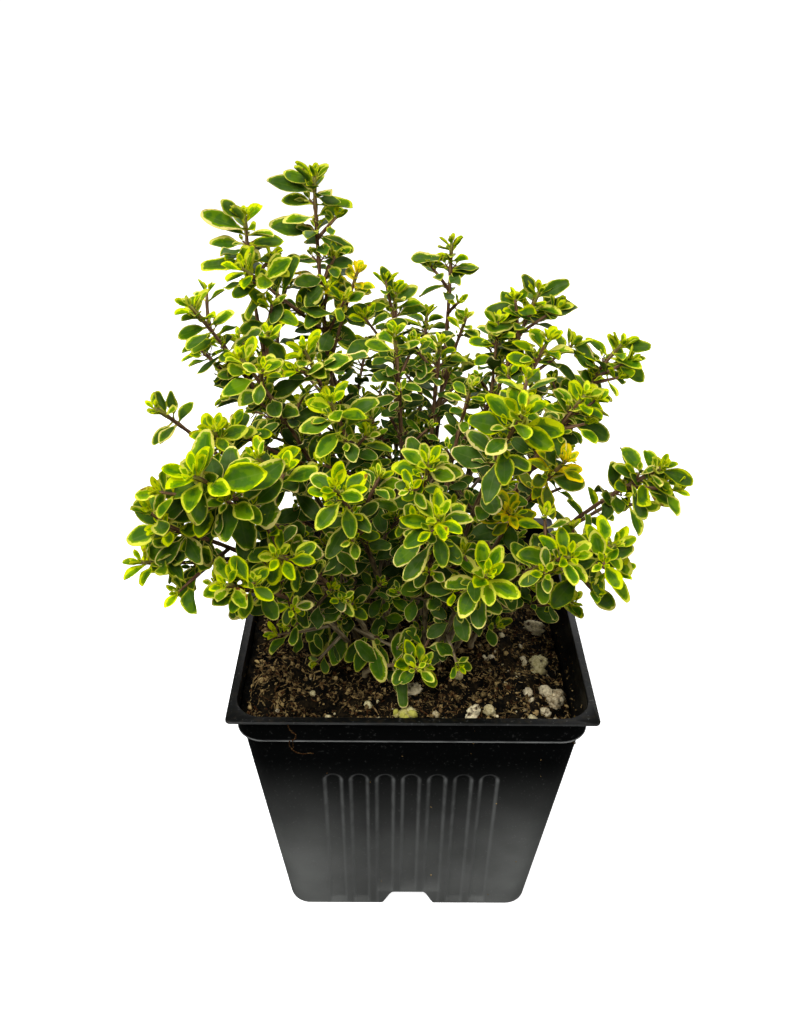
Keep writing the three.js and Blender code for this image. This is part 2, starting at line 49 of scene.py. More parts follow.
# ---- Camera: where the photograph was taken from ----
PHOTO_WIDTH = 800  # pixels
PHOTO_HEIGHT = 1024
FOCAL_PIXELS = 967.8
SENSOR = 36.0
CAMERA_TARGET = (-3.31, 0.0, 113.55)
CAMERA_DISTANCE = 248.8
CAMERA_PITCH = 32.95
CAMERA_YAW = -0.52
CAMERA_ROLL = 0.71
# The enlarged view in which grains, crumbs and hairs are picked: its corner in the
# photograph, and its scale.
VIEW_CORNER = (230, 600)
VIEW_SCALE = 4.126

# ---- Sizes of the pot ----
RIM_WIDTH = 89.0
POT_HEIGHT = 83.0
FLANGE = 0.7
COLLAR_WIDTH = 86.0
COLLAR_DROP = 8.0
WALL_TOP_WIDTH = 84.0
FOOT_WIDTH = 68.6
WALL = 0.6
RIM_CORNER = 1.4
COLLAR_CORNER = 7.0
FOOT_CORNER = 6.0
FOOT_ROUNDING = 0.6
WALL_TOP = POT_HEIGHT - COLLAR_DROP
WALL_SLOPE = (WALL_TOP_WIDTH - FOOT_WIDTH) / 2 / WALL_TOP  # how far a side leans out per mm of height
LIP = 0.3  # rounding of the collar's lower edge
LIP_HEIGHT = 0.5  # height of the painted highlight band over that edge
MOUTH = 0.4  # rounding of the inner edge of the rim
CORNER_STEPS = 10

FLUTES = 7
FLUTE_PITCH = 6.6
FLUTE_WIDTH = 4.2
FLUTE_DEPTH = 0.5
FLUTE_TOP = 60.9
FLUTE_EDGE = 0.8  # width of a groove's sloping edge
FLUTE_ZONE = 24.0  # half the width of the wall that the grooves lie in

NOTCH_FOOT = 16.0
NOTCH_TOP = 8.4
NOTCH_HEIGHT = 5.6
NOTCH_REACH = 11.0
DRAIN_RADIUS = 2.2
DRAIN_MARGIN = 1.2  # between a drain hole and the inner end of its channel
DRAIN_SIDES = 32

# ---- Sizes of the soil and what lies on it ----
CLEARANCE = 0.3
SOIL_LEVEL = 77.0
SOIL_DIP = 7.0
SOIL_HALF = 40.2  # half the width of the soil's top
SOIL_STEPS = 170
CLOD_HEIGHT = 1.5
SOIL_GAP = 0.35  # between the soil's top and the wall
SOIL_CORNER = 0.06  # how much the corners of its top are drawn in
SOIL_NECK = 40 / 41.5  # width just under the collar, as a share of the top's
SOIL_FOOT = 0.77  # width of the underside, as a share of the top's
BANK = 2.4  # how much higher the soil lies against the left wall
CRUMBS = 8000
CRUMB_SIZES = (0.16, 0.72)
STUCK_CRUMBS = 420  # crumbs that cling to the inside of the wall
STUCK_TOP = POT_HEIGHT - 0.9  # the highest of them
STUCK_REACH = 5.5  # how far down they go
STUCK_DROP = 4.0  # how much lower they are on the right, where the soil has sunk
FIBRES = 7000
FIBRE_LENGTHS = (0.9, 4.2)
GRITS = 130

# Pale grains: name, place, half sizes and turn.
GRAINS = [
    ("grain_front_right", (37, -26), (4, 3, 2.4), 20),
    ("grain_right", (35, 4), (1.7, 3.2, 2), 70),
    ("grain_olive", (33.5, -14), (3, 2.6, 2.2), 40),
    ("grain_middle", (0, -27.5), (2.6, 1.9, 1.6), 0),
    ("grain_green", (-2, -36.5), (3.6, 1.8, 1.6), 10),
    ("grain_shard", (15, -36), (2.2, 1.4, 1.8), 50),
]

# How green a grain is, where it isn't as plain as the others.
GRAIN_GREENS = {"grain_front_right": 0.0, "grain_green": 0.85, "grain_olive": 0.25}
PLAIN_GREEN = 0.05
# The grains that are heaps: how many lumps, their half sizes and how far they are raised.
HEAPS = {"grain_front_right": (11, (0.95, 1.9), 0.7), "grain_green": (12, (0.7, 1.25), 0.1)}

# Smaller grains: where the enlarged view shows them, and their half sizes.
GRAIN_LEVEL = 78.0  # height at which they are picked
SMALL_GRAINS = [
    ((940, 315), 1.7), ((342, 384), 0.9), ((1285, 316), 0.7), ((1230, 360), 1.5), ((1374, 339), 1.3),
    ((1300, 425), 1.4), ((1250, 480), 1.1), ((1070, 455), 1.4), ((880, 495), 1.1), ((850, 465), 0.8),
    ((730, 410), 0.6), ((570, 435), 1.0), ((405, 485), 1.0), ((610, 485), 1.1), ((1195, 290), 0.4),
    ((1225, 265), 0.35), ((475, 395), 0.4), ((610, 408), 0.4), ((665, 402), 0.5), ((197, 469), 0.6),
]

# Two root hairs that hang over the front wall, as points in the enlarged view.
ROOT_HAIRS = [
    [(240, 490), (242, 527), (253, 543), (272, 555), (269, 571), (258, 582), (261, 598), (259, 614)],
    [(246, 582), (245, 598), (256, 614), (274, 627), (301, 634), (327, 630), (346, 629)],
]
HAIR_RADII = (0.17, 0.09)
HAIR_STEPS = 60
HAIR_OFF = 0.1  # a hair is picked this far in front of the collar
# Crumbs that stick to the front wall, in the enlarged view.
WALL_CRUMBS = [
    (1008, 533), (1005, 590), (995, 633), (1283, 660), (1283, 728), (830, 855), (710, 645), (400, 715),
    (1100, 841), (580, 752), (830, 1135), (1180, 1080), (1065, 1215), (625, 1160.6),
]

# ---- The thyme: where its stems and leaves are ----
ROOT_RISE = 1.6
STEM_STEPS = 4
TWIG_STEPS = 2
BLADE_THICKNESS = 0.6
BLADE_WIDTH = 0.5
BLADE_BLUNT = 0.45
BLADE_SEAT = 0.3
LEAF_TURNS = (0, 25, -25, 50, -50)  # turns that a packed leaf tries, to clear the others
LEAF_TWIST = 56

PAIR_FLOOR = 0.2  # no pair of PAIRS sits lower than this share of its stem
# Pairs of leaves from the tip down: distance back, size, angle open, arch.
PAIRS = [
    (0.7, 0.55, 24, -0.04),
    (2.8, 0.86, 46, 0.03),
    (6.4, 1.0, 60, 0.08),
    (12.5, 0.96, 66, 0.1),
    (20.0, 0.9, 70, 0.12),
]

LEANING = (0.35, 0.62)
UPRIGHT = (1.0, 0.45)

# Name, root, tip, bend, longest leaf, turn of the first pair, pairs, and its shoots as
# share of the stem's length, tip, longest leaf, turn, pairs.
STEMS = [
    ("top_left", (-9, 7), (-24, 22, 192), UPRIGHT, 9, -10, 5, [
        (0.67, (-40, 7, 175), 8.5, 5, 3),
        (0.6, (-14, 17, 171), 6.5, 30, 3),
    ]),
    ("left_tall", (-14, 5), (-40, 17, 184), UPRIGHT, 8, 15, 4, [
        (0.62, (-31, 26, 170), 5.5, 40, 2),
    ]),
    ("left_upper", (-13, 0), (-50, -6, 171), LEANING, 7, 0, 4, [
        (0.7, (-53, 4, 159), 6.5, 60, 3),
    ]),
    ("left_middle", (-10, -4), (-38, -16, 163), LEANING, 7.5, 20, 4, [
        (0.62, (-41, -23, 150), 6, 0, 3),
    ]),
    ("centre_left", (-6, -1), (-25, -11, 163), LEANING, 8, 0, 4, [
        (0.5, (-28, 8, 140), 7, 45, 2),
    ]),
    ("centre_front", (-4, -6), (-19, -20, 155), LEANING, 8.5, 10, 4, [
        (0.55, (-9, -22, 136), 7, 45, 2),
    ]),
    ("centre", (-1, 1), (-5, 3, 161), LEANING, 7, 45, 4, [
        (0.5, (-11, 6, 138), 7, 20, 2),
    ]),
    ("centre_back", (-4, 8), (-5, 23, 164), LEANING, 7.5, 20, 3, []),
    ("far_left", (-15, -6), (-57, -20, 153), LEANING, 6, 60, 3, [
        (0.32, (-33, -12, 106), 7, 45, 2),
        (0.7, (-43, -28, 152), 7, 30, 3),
    ]),
    ("left_front", (-9, -9), (-34, -31, 147), LEANING, 7.5, 50, 3, []),
    ("top_middle", (0, 10), (9, 30, 174), UPRIGHT, 6.5, 0, 4, [
        (0.62, (13, 22, 158), 5, 20, 2),
    ]),
    ("middle_right", (2.5, 4), (6, 10, 156), LEANING, 7, 30, 3, [
        (0.5, (15, 8, 134), 7, 60, 2),
    ]),
    ("inner_right", (4, -1), (13, -2, 150), LEANING, 6, 45, 3, []),
    ("top_right", (8, 7), (30, 18, 166), LEANING, 7.5, 10, 4, [
        (0.6, (20, 14, 160), 7.5, 0, 3),
    ]),
    ("right_upper", (10, 2), (31, 3, 160), LEANING, 7.5, 30, 3, [
        (0.6, (24, -8, 150), 7, 0, 2),
    ]),
    ("far_right_upper", (14, 5), (50, 10, 156), LEANING, 8, 0, 4, []),
    ("right_middle", (12, -3), (38, -12, 153), LEANING, 7.5, 0, 4, []),
    ("near_right", (7, -10), (20, -41, 163), LEANING, 9.8, 0, 4, []),
    ("front_upper", (1, -9), (2, -38, 150), LEANING, 7.5, 45, 4, []),
    ("front", (3, -13), (4, -46, 142), LEANING, 7.8, 45, 4, []),
    ("right_inner", (11, -7), (34, -19, 140), LEANING, 7, 40, 4, [
        (0.62, (20, -31, 134), 6, 10, 3),
    ]),
    ("front_left", (-5, -12), (-17, -43, 147), LEANING, 7.5, 45, 4, []),
    ("near_left", (-13, -12), (-43, -52, 155), LEANING, 10.5, 0, 4, []),
    ("front_left_low", (-9, -15), (-29, -47, 133), LEANING, 7, 30, 3, []),
    ("far_left_low", (-17, -10), (-52, -47, 140), LEANING, 6.5, 20, 4, [
        (0.66, (-58, -44, 129), 7, 0, 3),
    ]),
    ("left_low", (-14, -17), (-39, -53, 130), LEANING, 7.5, 30, 3, []),
    ("trailing_front", (-12, -22), (3, -31, 89), LEANING, 7.5, 60, 3, []),
    ("front_right_low", (7, -16), (15, -45, 127), LEANING, 9, 10, 4, []),
    ("right_front", (12, -12), (32, -45, 132), LEANING, 7.8, 0, 4, []),
    ("right_low", (16, -10), (43, -38, 130), LEANING, 8, 20, 4, [
        (0.3, (38, -27, 106), 7, 45, 2),
    ]),
    ("far_right", (16, -5), (57, -15, 136), LEANING, 8, 0, 4, []),
    ("side_left", (-18, 3), (-54, 8, 122), LEANING, 8, 30, 4, []),
    ("side_right", (19, 2), (51, 6, 112), LEANING, 8, 30, 4, []),
    ("back_left", (-12, 11), (-46, 30, 148), LEANING, 8, 0, 3, [
        (0.6, (-52, 38, 130), 7.5, 40, 3),
    ]),
    ("back_inner_left", (-7, 13), (-28, 46, 148), LEANING, 8, 20, 3, [
        (0.35, (-34, 52, 114), 7.5, 0, 2),
        (0.55, (-13, 50, 138), 7.5, 0, 3),
    ]),
    ("back_middle", (0, 15), (4, 50, 148), LEANING, 8, 45, 3, [
        (0.35, (-3, 60, 114), 7.5, 45, 2),
        (0.5, (16, 56, 130), 7.5, 10, 3),
    ]),
    ("back_right", (9, 13), (28, 44, 145), LEANING, 8, 10, 3, [
        (0.35, (34, 56, 108), 7.5, 20, 2),
        (0.55, (41, 45, 129), 7.5, 40, 3),
    ]),
    ("back_far_right", (16, 9), (49, 30, 136), LEANING, 8, 30, 3, []),
]

# ---- Sizes and light of the studio ----
WORLD_STRENGTH = 0.25
FLOOR_GLOW = 0.9
FLOOR_FLAT = 2500  # radius of the level part
FLOOR_BEND = 1500
FLOOR_WALL = 6000
FLOOR_SIDES = 48
LAMPS = [
    ("key", (-200, -260, 620), 420, 3.85),
    ("fill", (420, -300, 380), 500, 1.0),
    ("rim", (60, 480, 420), 400, 1.2),
]

# ---- The thyme: what only the visual model has ----
MORE_PAIRS = [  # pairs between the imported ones, as in PAIRS
    (1.5, 0.72, 60, 0.0),
    (4.3, 0.92, 74, 0.08),
    (9.2, 0.92, 80, 0.12),
    (16.0, 0.9, 84, 0.14),
]
LONG_PAIRS = [(7.8, 1.36, 80, 0.14), (13.6, 1.3, 92, 0.16)]  # long old leaves on some shoots, as in PAIRS
LONG_CHANCES = (0.5, 0.35)
# The closed leaves at a tip, as in PAIRS.
BUD_PAIRS = [(0.2, 0.42, 38, -0.03), (-0.3, 0.28, 24, -0.05), (-0.7, 0.17, 11, -0.05)]
LOWER_GAPS = (8.0, 9.5, 11.0, 13.0, 15.0)  # between the pairs under those of PAIRS
LOWER_SIZE = 1.02
LOWEST_PAIR = 84.5  # no pair sits lower than this
TIP_RISE = 0.8
RISE_REACH = 11.0  # mm from the tip where a stem begins to turn up
SPREAD = (26, 28, 22, 16, 12)  # how much further open than its packed blade a leaf of each pair is
TUFT_FROM = 2  # pairs this far down carry small tufts in the joints of their leaves
# Shares of a stem where small twigs leave it.
TWIG_PLACES = (0.14, 0.22, 0.3, 0.38, 0.46, 0.54, 0.62, 0.7, 0.78, 0.86)
TWIG_CHANCES = (0.15, 0.62)  # low on a stem and from its middle up
TWIG_REACH = (6.5, 15.0)
TWIG_SIZES = (0.65, 0.95)  # of the stem's longest leaf
TUFT_SIZES = (0.3, 0.58)
GOLDEN_ANGLE = 137.5  # from each of those twigs to the next
BUSH_MIDDLE = (0, 0, 108)
BUSH_REACH = (58, 58, 76)  # half sizes of the bush
# Twigs by stem: share of its length, tip, longest leaf and turn of the first pair. A tip is a
# place, or a pixel of the photograph and how far behind the middle of the pot it lies.
PLACED_TWIGS = {
    "far_left_low": [
        (0.26, (-31, -15, 96), 7.5, 10),
        (0.88, ((150, 512), -50), 8.5, 30), (0.74, ((178, 592), -48), 8, 60),
    ],
    "left_low": [(0.2, (-24, -25.5, 85), 6, 60), (0.3, (-33, -28, 96), 8, 0)],
    "near_left": [
        (0.84, ((160, 491.8), -50), 8.5, 10), (0.76, ((225, 500), -48), 8.5, 50),
        (0.72, ((200, 505), -44), 9, 0),
    ],
    "left_tall": [(0.5, (-29, 8, 131), 7, 0), (0.7, ((272, 305), 8), 8.5, 40)],
    "left_upper": [(0.68, ((268, 335), 2), 8.5, 10)],
    "top_left": [
        (0.77, ((335, 256), 20), 9, 20), (0.71, ((328, 288), 16), 8.5, 60),
        (0.66, ((345, 300), 12), 9, 0),
    ],
    "top_middle": [
        (0.88, ((430, 265), 30), 8, 0), (0.82, (11, 25, 160.5), 5.5, 45),
    ],
    "top_right": [
        (0.45, (13, 14, 128), 7, 50), (0.86, ((515, 300), 16), 8.5, 30), (0.88, ((557, 308), 16), 8.5, 0),
    ],
    "right_upper": [(0.88, ((572, 345), 8), 9, 20)],
    "centre_back": [
        (0.55, (-12, 8, 131), 7, 20), (0.8, ((365, 318), 14), 9, 45), (0.9, ((385, 280), 22), 8, 0),
    ],
    "far_right_upper": [(0.87, ((630, 360), 8), 8.5, 15)],
    "far_right": [
        (0.45, (39, -14, 104), 7, 30), (0.3, (31, -7, 95), 7, 0), (0.88, ((675, 490), -16), 8.5, 40),
        (0.77, ((640, 505), -16), 8.5, 0),
    ],
    "right_middle": [(0.86, ((595, 400), -8), 8.5, 30)],
    "right_low": [(0.82, ((618, 573), -38), 9, 20), (0.75, ((592, 590), -40), 8.5, 60)],
    "front_right_low": [(0.25, (11, -30, 88), 7.5, 45)],
    "centre": [(0.3, (-6, -5, 108), 7.5, 30)],
    "front": [(0.74, ((415, 520), -38), 8, 25)],
    "front_left": [(0.15, (-8, -20, 96), 7, 45)],
    "right_front": [(0.2, (21, -22, 94), 7.5, 10)],
}
PLACED_LEAVES = {  # single leaves: share of the stem's length, tip, and how slim the leaf is
    "left_tall": [(0.9, (-52, 16, 173), 1), (0.9, (-32, 16, 176), 1), (0.97, (-50, 16, 185), 0.6),
                  (0.99, (-45, 16, 188), 0)],
    "top_left": [(0.89, (-36, 21, 181), 0.3), (0.97, (-35, 21, 191), 0.3), (0.96, (-18, 21, 186), 0.2),
                 (0.88, (-15, 21, 175), 0.2), (0.99, (-31, 21, 193), 0), (0.8, (-30, 20, 159), 0),
                 (0.7, (-12, 20, 149), 0.2)],
    "top_middle": [(0.93, (16, 29, 168), 0.2), (0.96, (-1, 29, 171), 1)],
    "top_right": [(0.93, (17, 16, 162), 0), (0.89, (18, 15, 156), 0), (0.98, (26, 17, 171), 0),
                  (0.98, (37, 17, 169), 0), (0.95, (40, 16, 163), 0.3)],
    "centre_back": [(0.99, (-8, 22, 171), 1)],
    "far_right_upper": [(0.9, (38, 8, 158), 0.8), (0.93, (57, 9, 148), 0.7), (0.99, (57, 9, 156), 0.3)],
    "right_middle": [(0.91, (46, -12, 142), 0.3)],
    "right_inner": [(0.95, (29, -19, 144), 0.2), (0.9, (39, -19, 133), 0)],
    "far_right": [(0.83, (46, -14, 137), 0.6), (0.93, (62, -15, 126), 0.3), (0.99, (65, -16, 133), 0.3)],
    "far_left": [(0.94, (-59, -20, 144), 1), (0.94, (-53, -20, 157), 1), (0.96, (-56, -20, 157), 1)],
    "near_left": [(0.97, (-44, -51, 143), 0), (0.93, (-33, -49, 153), 0), (0.83, (-36, -45, 132), 0)],
    "far_left_low": [(0.98, (-57, -46, 145), 0.3), (0.89, (-57, -43, 130), 0.3)],
}
# Stretches of stems, as shares of their lengths, that carry only their packed and placed leaves.
BARE = {
    "top_middle": (0.7, 0.92), "far_left": (0.72, 0.97), "far_right": (0.4, 0.8), "side_right": (0, 1),
    "side_left": (0, 1), "left_tall": (0.62, 0.84), "far_left_low": (0.55, 0.9), "right_low": (0.4, 0.75),
}
NOWHERE = (2, 2)  # such a stretch for stems without one
# The twig that trails over the front of the soil: its stem, where it leaves it, its tip,
# and its leaves as in PLACED_LEAVES.
TRAILING = ("far_left_low", 0.22, (-3.5, -23.5, 88), [
    (0.03, (-26, -24, 90.5), 0), (0.05, (-26, -25.5, 80.5), 0), (0.24, (-20.5, -29, 80), 0),
    (0.6, (-17, -25, 85), 0.3), (0.6, (-13.7, -26, 82), 1), (0.68, (-7, -26, 81.5), 0),
    (0.68, (-8, -30, 80), 1), (0.97, (-3.3, -26, 80.5), 1), (0.97, (0.5, -24, 95), 1),
    (1.0, (1.5, -25, 88), 0),
])
TRAILING_RADII = (0.62, 0.42)
TRAILING_TUFTS = (0.24, 0.68)
CLEARING = ((-27, 0), (-60, -19), (78, 97))  # the space around that twig, free of other small leaves
LIGHT = (0.0, -0.8, 0.6)  # where the light came from that the leaves turn to
BACK_LIGHT = (0.0, 0.45, 0.9)  # the same for the leaves at the back of the bush
BACK = (26, 40)  # mm behind the middle where the one gives way to the other
FACING = 0.8  # how strongly the leaves turn
LONGEST_LEAF = 11.5
LONGEST_EXTRA = 8.6  # what the longest leaf of a shoot counts as for the leaves that aren't packed
# Shoots with golden leaves: stem, and number of the shoot, where the stem itself is 0.
GOLD_SHOOTS = {("left_tall", 1), ("top_left", 2), ("right_inner", 0), ("right_inner", 1)}

PETIOLES = (0.12, 0.22)  # share of a short and of a slim leaf
PETIOLE_WIDTH = 0.035
LEAF_THICKNESS = 0.28
LEAF_ROWS = (0, 0.07, 0.14, 0.23, 0.34, 0.46, 0.58, 0.7, 0.8, 0.88, 0.94, 0.98, 1)
LEAF_COLUMNS = (-1, -0.92, -0.5, 0, 0.5, 0.92, 1)
SMALL_ROWS = (0, 0.15, 0.38, 0.62, 0.82, 0.95, 1)
SMALL_COLUMNS = (-1, -0.85, 0, 0.85, 1)
SMALL_LEAF = 4.3  # leaves under this length have fewer faces

BARK_RADII = (0.78, 0.4)
TWIG_RADII = (0.5, 0.33)
STALK_RADIUS = 0.24
BARK_SIDES = 8
BARK_SPACING = 1.4
KNOT_SWELL = 0.16
BARK_START = 4.0  # a stem begins this far under the soil


# ---- Meshes ----
class Surface:
    """A mesh that is put together piece by piece, with vectors of looks at its points."""

    def __init__(self, *layers):
        self.layers = {name: [] for name in layers}
        self.points, self.corners, self.sizes, self.slots = [], [], [], []
        self.count = 0

    def add(self, points, groups, **looks):
        """groups are pairs of faces, all with the same number of corners, and a slot."""
        points = np.asarray(points, float).reshape(-1, 3)
        for faces, slot in groups:
            faces = np.asarray(faces, int)
            self.corners.append((faces + self.count).ravel())
            self.sizes.append(np.full(len(faces), faces.shape[1]))
            self.slots.append(np.full(len(faces), slot))
        for name, parts in self.layers.items():
            parts.append(np.broadcast_to(looks.get(name, 0.0), points.shape))
        self.points.append(points)
        self.count += len(points)

    def mesh(self, name):
        """The bare mesh, in metres."""
        mesh = bpy.data.meshes.new(name)
        corners, sizes = np.concatenate(self.corners), np.concatenate(self.sizes)
        mesh.vertices.add(self.count)
        mesh.vertices.foreach_set("co", (np.concatenate(self.points) * MM).ravel())
        mesh.loops.add(len(corners))
        mesh.loops.foreach_set("vertex_index", corners)
        mesh.polygons.add(len(sizes))
        mesh.polygons.foreach_set("loop_start", np.cumsum(sizes) - sizes)
        mesh.update(calc_edges=True)
        mesh.polygons.foreach_set("material_index", np.concatenate(self.slots))
        for layer, parts in self.layers.items():
            made = mesh.attributes.new(layer, "FLOAT_VECTOR", "POINT")
            made.data.foreach_set("vector", np.concatenate(parts).ravel())
        mesh.shade_smooth()
        return mesh

    def build(self, name, materials, replaces=()):
        """The mesh as a piece of the scene, in the place of the nodes that it replaces."""
        mesh = self.mesh(name)
        for material in materials:
            mesh.materials.append(material)
        piece = bpy.data.objects.new(name, mesh)
        bpy.context.scene.collection.objects.link(piece)
        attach(piece, "root")
        if replaces:
            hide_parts(*replaces)
        return piece


def between(low, high, share):
    return low + (high - low) * share


def smooth_step(value, low, high):
    share = np.clip((value - low) / (high - low), 0, 1)
    return share * share * (3 - 2 * share)


def unit(vector):
    return vector / np.linalg.norm(vector)


def turned(vector, axis, degrees):
    """vector turned about a unit axis."""
    angle = math.radians(degrees)
    cosine, sine = math.cos(angle), math.sin(angle)
    return (
        vector * cosine
        + np.cross(axis, vector) * sine
        + axis * (axis @ vector) * (1 - cosine)
    )


def camera_axes():
    """The camera's directions to the right, up, and back from what it looks at."""
    pitch, yaw, roll = (math.radians(a) for a in (CAMERA_PITCH, CAMERA_YAW, CAMERA_ROLL))
    back = Vector((math.sin(yaw) * math.cos(pitch), -math.cos(yaw) * math.cos(pitch), math.sin(pitch)))
    right = Vector((math.cos(yaw), math.sin(yaw), 0.0))
    up = back.cross(right)
    across = right * math.cos(roll) + up * math.sin(roll)
    above = up * math.cos(roll) - right * math.sin(roll)
    return across, above, back


def seen(pixel, point, facing):
    """Where a pixel of the photograph lies on a plane, to a tenth of a millimetre. The
    plane goes through the point, and facing is its normal."""
    across, above, back = (np.array(axis) for axis in camera_axes())
    eye = np.array(CAMERA_TARGET) + back * CAMERA_DISTANCE
    x, y = pixel[0] - PHOTO_WIDTH / 2, PHOTO_HEIGHT / 2 - pixel[1]
    ray = (x * across + y * above) / FOCAL_PIXELS - back
    share = ((np.array(point) - eye) @ facing) / (ray @ facing)
    return [round(float(value), 1) for value in eye + share * ray]


def enlarged(pick):
    """The pixel of the photograph under a pick in the enlarged view."""
    return [corner + value / VIEW_SCALE for corner, value in zip(VIEW_CORNER, pick)]


def seen_on_wall(pick):
    """Place along the wall and height of a pick on the tapered front wall."""
    x, _, height = seen(enlarged(pick), (0, -FOOT_WIDTH / 2, 0), (0, 1, WALL_SLOPE))
    return x, height


def seen_on_front(pick):
    """The same for a pick on the collar, or under it on the wall."""
    x, _, height = seen(enlarged(pick), (0, -COLLAR_WIDTH / 2 - HAIR_OFF, 0), (0, 1, 0))
    return (x, height) if height >= WALL_TOP else seen_on_wall(pick)


def rough(x, y, cell, seed):
    """Soft random heights from -1 to 1 over the plane, with bumps about one cell wide."""
    size = 256
    grid = np.random.default_rng(seed).uniform(-1, 1, (size, size))
    column, row = np.floor(x / cell).astype(int), np.floor(y / cell).astype(int)
    right, up = smooth_step(x / cell - column, 0, 1), smooth_step(y / cell - row, 0, 1)

    def at(i, j):
        return grid[(column + i) % size, (row + j) % size]

    low = between(at(0, 0), at(1, 0), right)
    return between(low, between(at(0, 1), at(1, 1), right), up)


def as_looks(first, second=0.0):
    """Vectors of looks from one or two rows of numbers, with 0 for what isn't given."""
    return np.column_stack(np.broadcast_arrays(first, second, 0.0))


def ring_faces(rings, sides):
    """The walls between rings of points, and the two faces that close the ends."""
    ring, step = np.meshgrid(np.arange(rings - 1) * sides, np.arange(sides), indexing="ij")
    after = (step + 1) % sides
    walls = np.stack([ring + step, ring + after, ring + sides + after, ring + sides + step], -1)
    ends = [np.arange(sides)[::-1], (rings - 1) * sides + np.arange(sides)]
    return walls.reshape(-1, 4), ends


def tube(surface, points, radii, sides, slot, **looks):
    """A round skin along points, closed at both ends. looks are vectors, or functions of the
    places around and along it."""
    points, radii = np.asarray(points, float), np.asarray(radii, float)
    ahead = np.gradient(points, axis=0)
    ahead /= np.linalg.norm(ahead, axis=1)[:, None]
    start = np.array((1.0, 0.0, 0.0)) if abs(ahead[0][0]) < 0.8 else np.array((0.0, 1.0, 0.0))
    across = np.zeros_like(points)
    for i, axis in enumerate(ahead):
        start = unit(start - axis * (axis @ start))
        across[i] = start
    beside = np.cross(ahead, across)
    angle = np.arange(sides) * 2 * math.pi / sides
    skin = (
        points[:, None]
        + radii[:, None, None] * np.cos(angle)[None, :, None] * across[:, None]
        + radii[:, None, None] * np.sin(angle)[None, :, None] * beside[:, None]
    )
    walls, ends = ring_faces(len(points), sides)
    around, along = (grid.ravel() for grid in np.meshgrid(angle, np.linspace(0, 1, len(points))))
    values = {key: look(around, along) if callable(look) else look for key, look in looks.items()}
    surface.add(skin.reshape(-1, 3), [(walls, slot), (ends, slot)], **values)


# ---- Materials ----
def linear(red, green, blue):
    """A colour that is given as it shows on a screen, from 0 to 255."""
    parts = [c / 255 for c in (red, green, blue)]
    return (*(c / 12.92 if c < 0.04045 else ((c + 0.055) / 1.055) ** 2.4 for c in parts), 1.0)


class Nodes:
    """A material's nodes, made by short calls. Each returns an output socket."""

    def __init__(self, name, roughness, specular=0.5, coat=0.0):
        self.material = bpy.data.materials.new(name)
        self.material.use_nodes = True
        self.tree = self.material.node_tree
        self.shader = self.tree.nodes["Principled BSDF"]
        self.set(self.shader, "Roughness", roughness)
        self.set(self.shader, "Specular IOR Level", specular)
        self.set(self.shader, "Coat Weight", coat)

    def set(self, node, key, value):
        socket = node.inputs[key]
        if isinstance(value, bpy.types.NodeSocket):
            self.tree.links.new(value, socket)
        else:
            socket.default_value = value

    def node(self, kind, output, settings=(), **inputs):
        made = self.tree.nodes.new(kind)
        for key, value in dict(settings).items():
            setattr(made, key, value)
        for key, value in inputs.items():
            self.set(made, key.replace("_", " "), value)
        return made.outputs[output]

    def place(self):
        return self.node("ShaderNodeTexCoord", "Object")

    def attribute(self, name):
        """The three numbers of a layer of looks."""
        vector = self.node("ShaderNodeAttribute", "Vector", {"attribute_name": name})
        parts = self.tree.nodes.new("ShaderNodeSeparateXYZ")
        self.set(parts, 0, vector)
        return [parts.outputs[i] for i in range(3)]

    def noise(self, scale, vector=None, detail=2.0, roughness=0.5):
        return self.node(
            "ShaderNodeTexNoise", "Fac",
            Vector=vector or self.place(), Scale=scale, Detail=detail, Roughness=roughness,
        )

    def math(self, kind, a, b=0.0, clamp=False):
        made = self.tree.nodes.new("ShaderNodeMath")
        made.operation, made.use_clamp = kind, clamp
        self.set(made, 0, a)
        self.set(made, 1, b)
        return made.outputs[0]

    def times(self, a, b):
        return self.math("MULTIPLY", a, b)

    def ramp(self, value, low, high, to_low=0.0, to_high=1.0):
        """value from low to high turned into to_low to to_high, softly and clamped."""
        made = self.tree.nodes.new("ShaderNodeMapRange")
        made.interpolation_type = "SMOOTHSTEP"
        for key, number in enumerate((value, low, high, to_low, to_high)):
            self.set(made, key, number)
        return made.outputs[0]

    def mix(self, share, first, second):
        made = self.tree.nodes.new("ShaderNodeMix")
        made.data_type = "RGBA"
        self.set(made, 0, share)
        self.set(made, 6, first)
        self.set(made, 7, second)
        return made.outputs[2]

    def bump(self, height, distance, strength=1.0):
        normal = self.node(
            "ShaderNodeBump", "Normal",
            Height=height, Distance=distance * MM, Strength=strength,
        )
        self.set(self.shader, "Normal", normal)


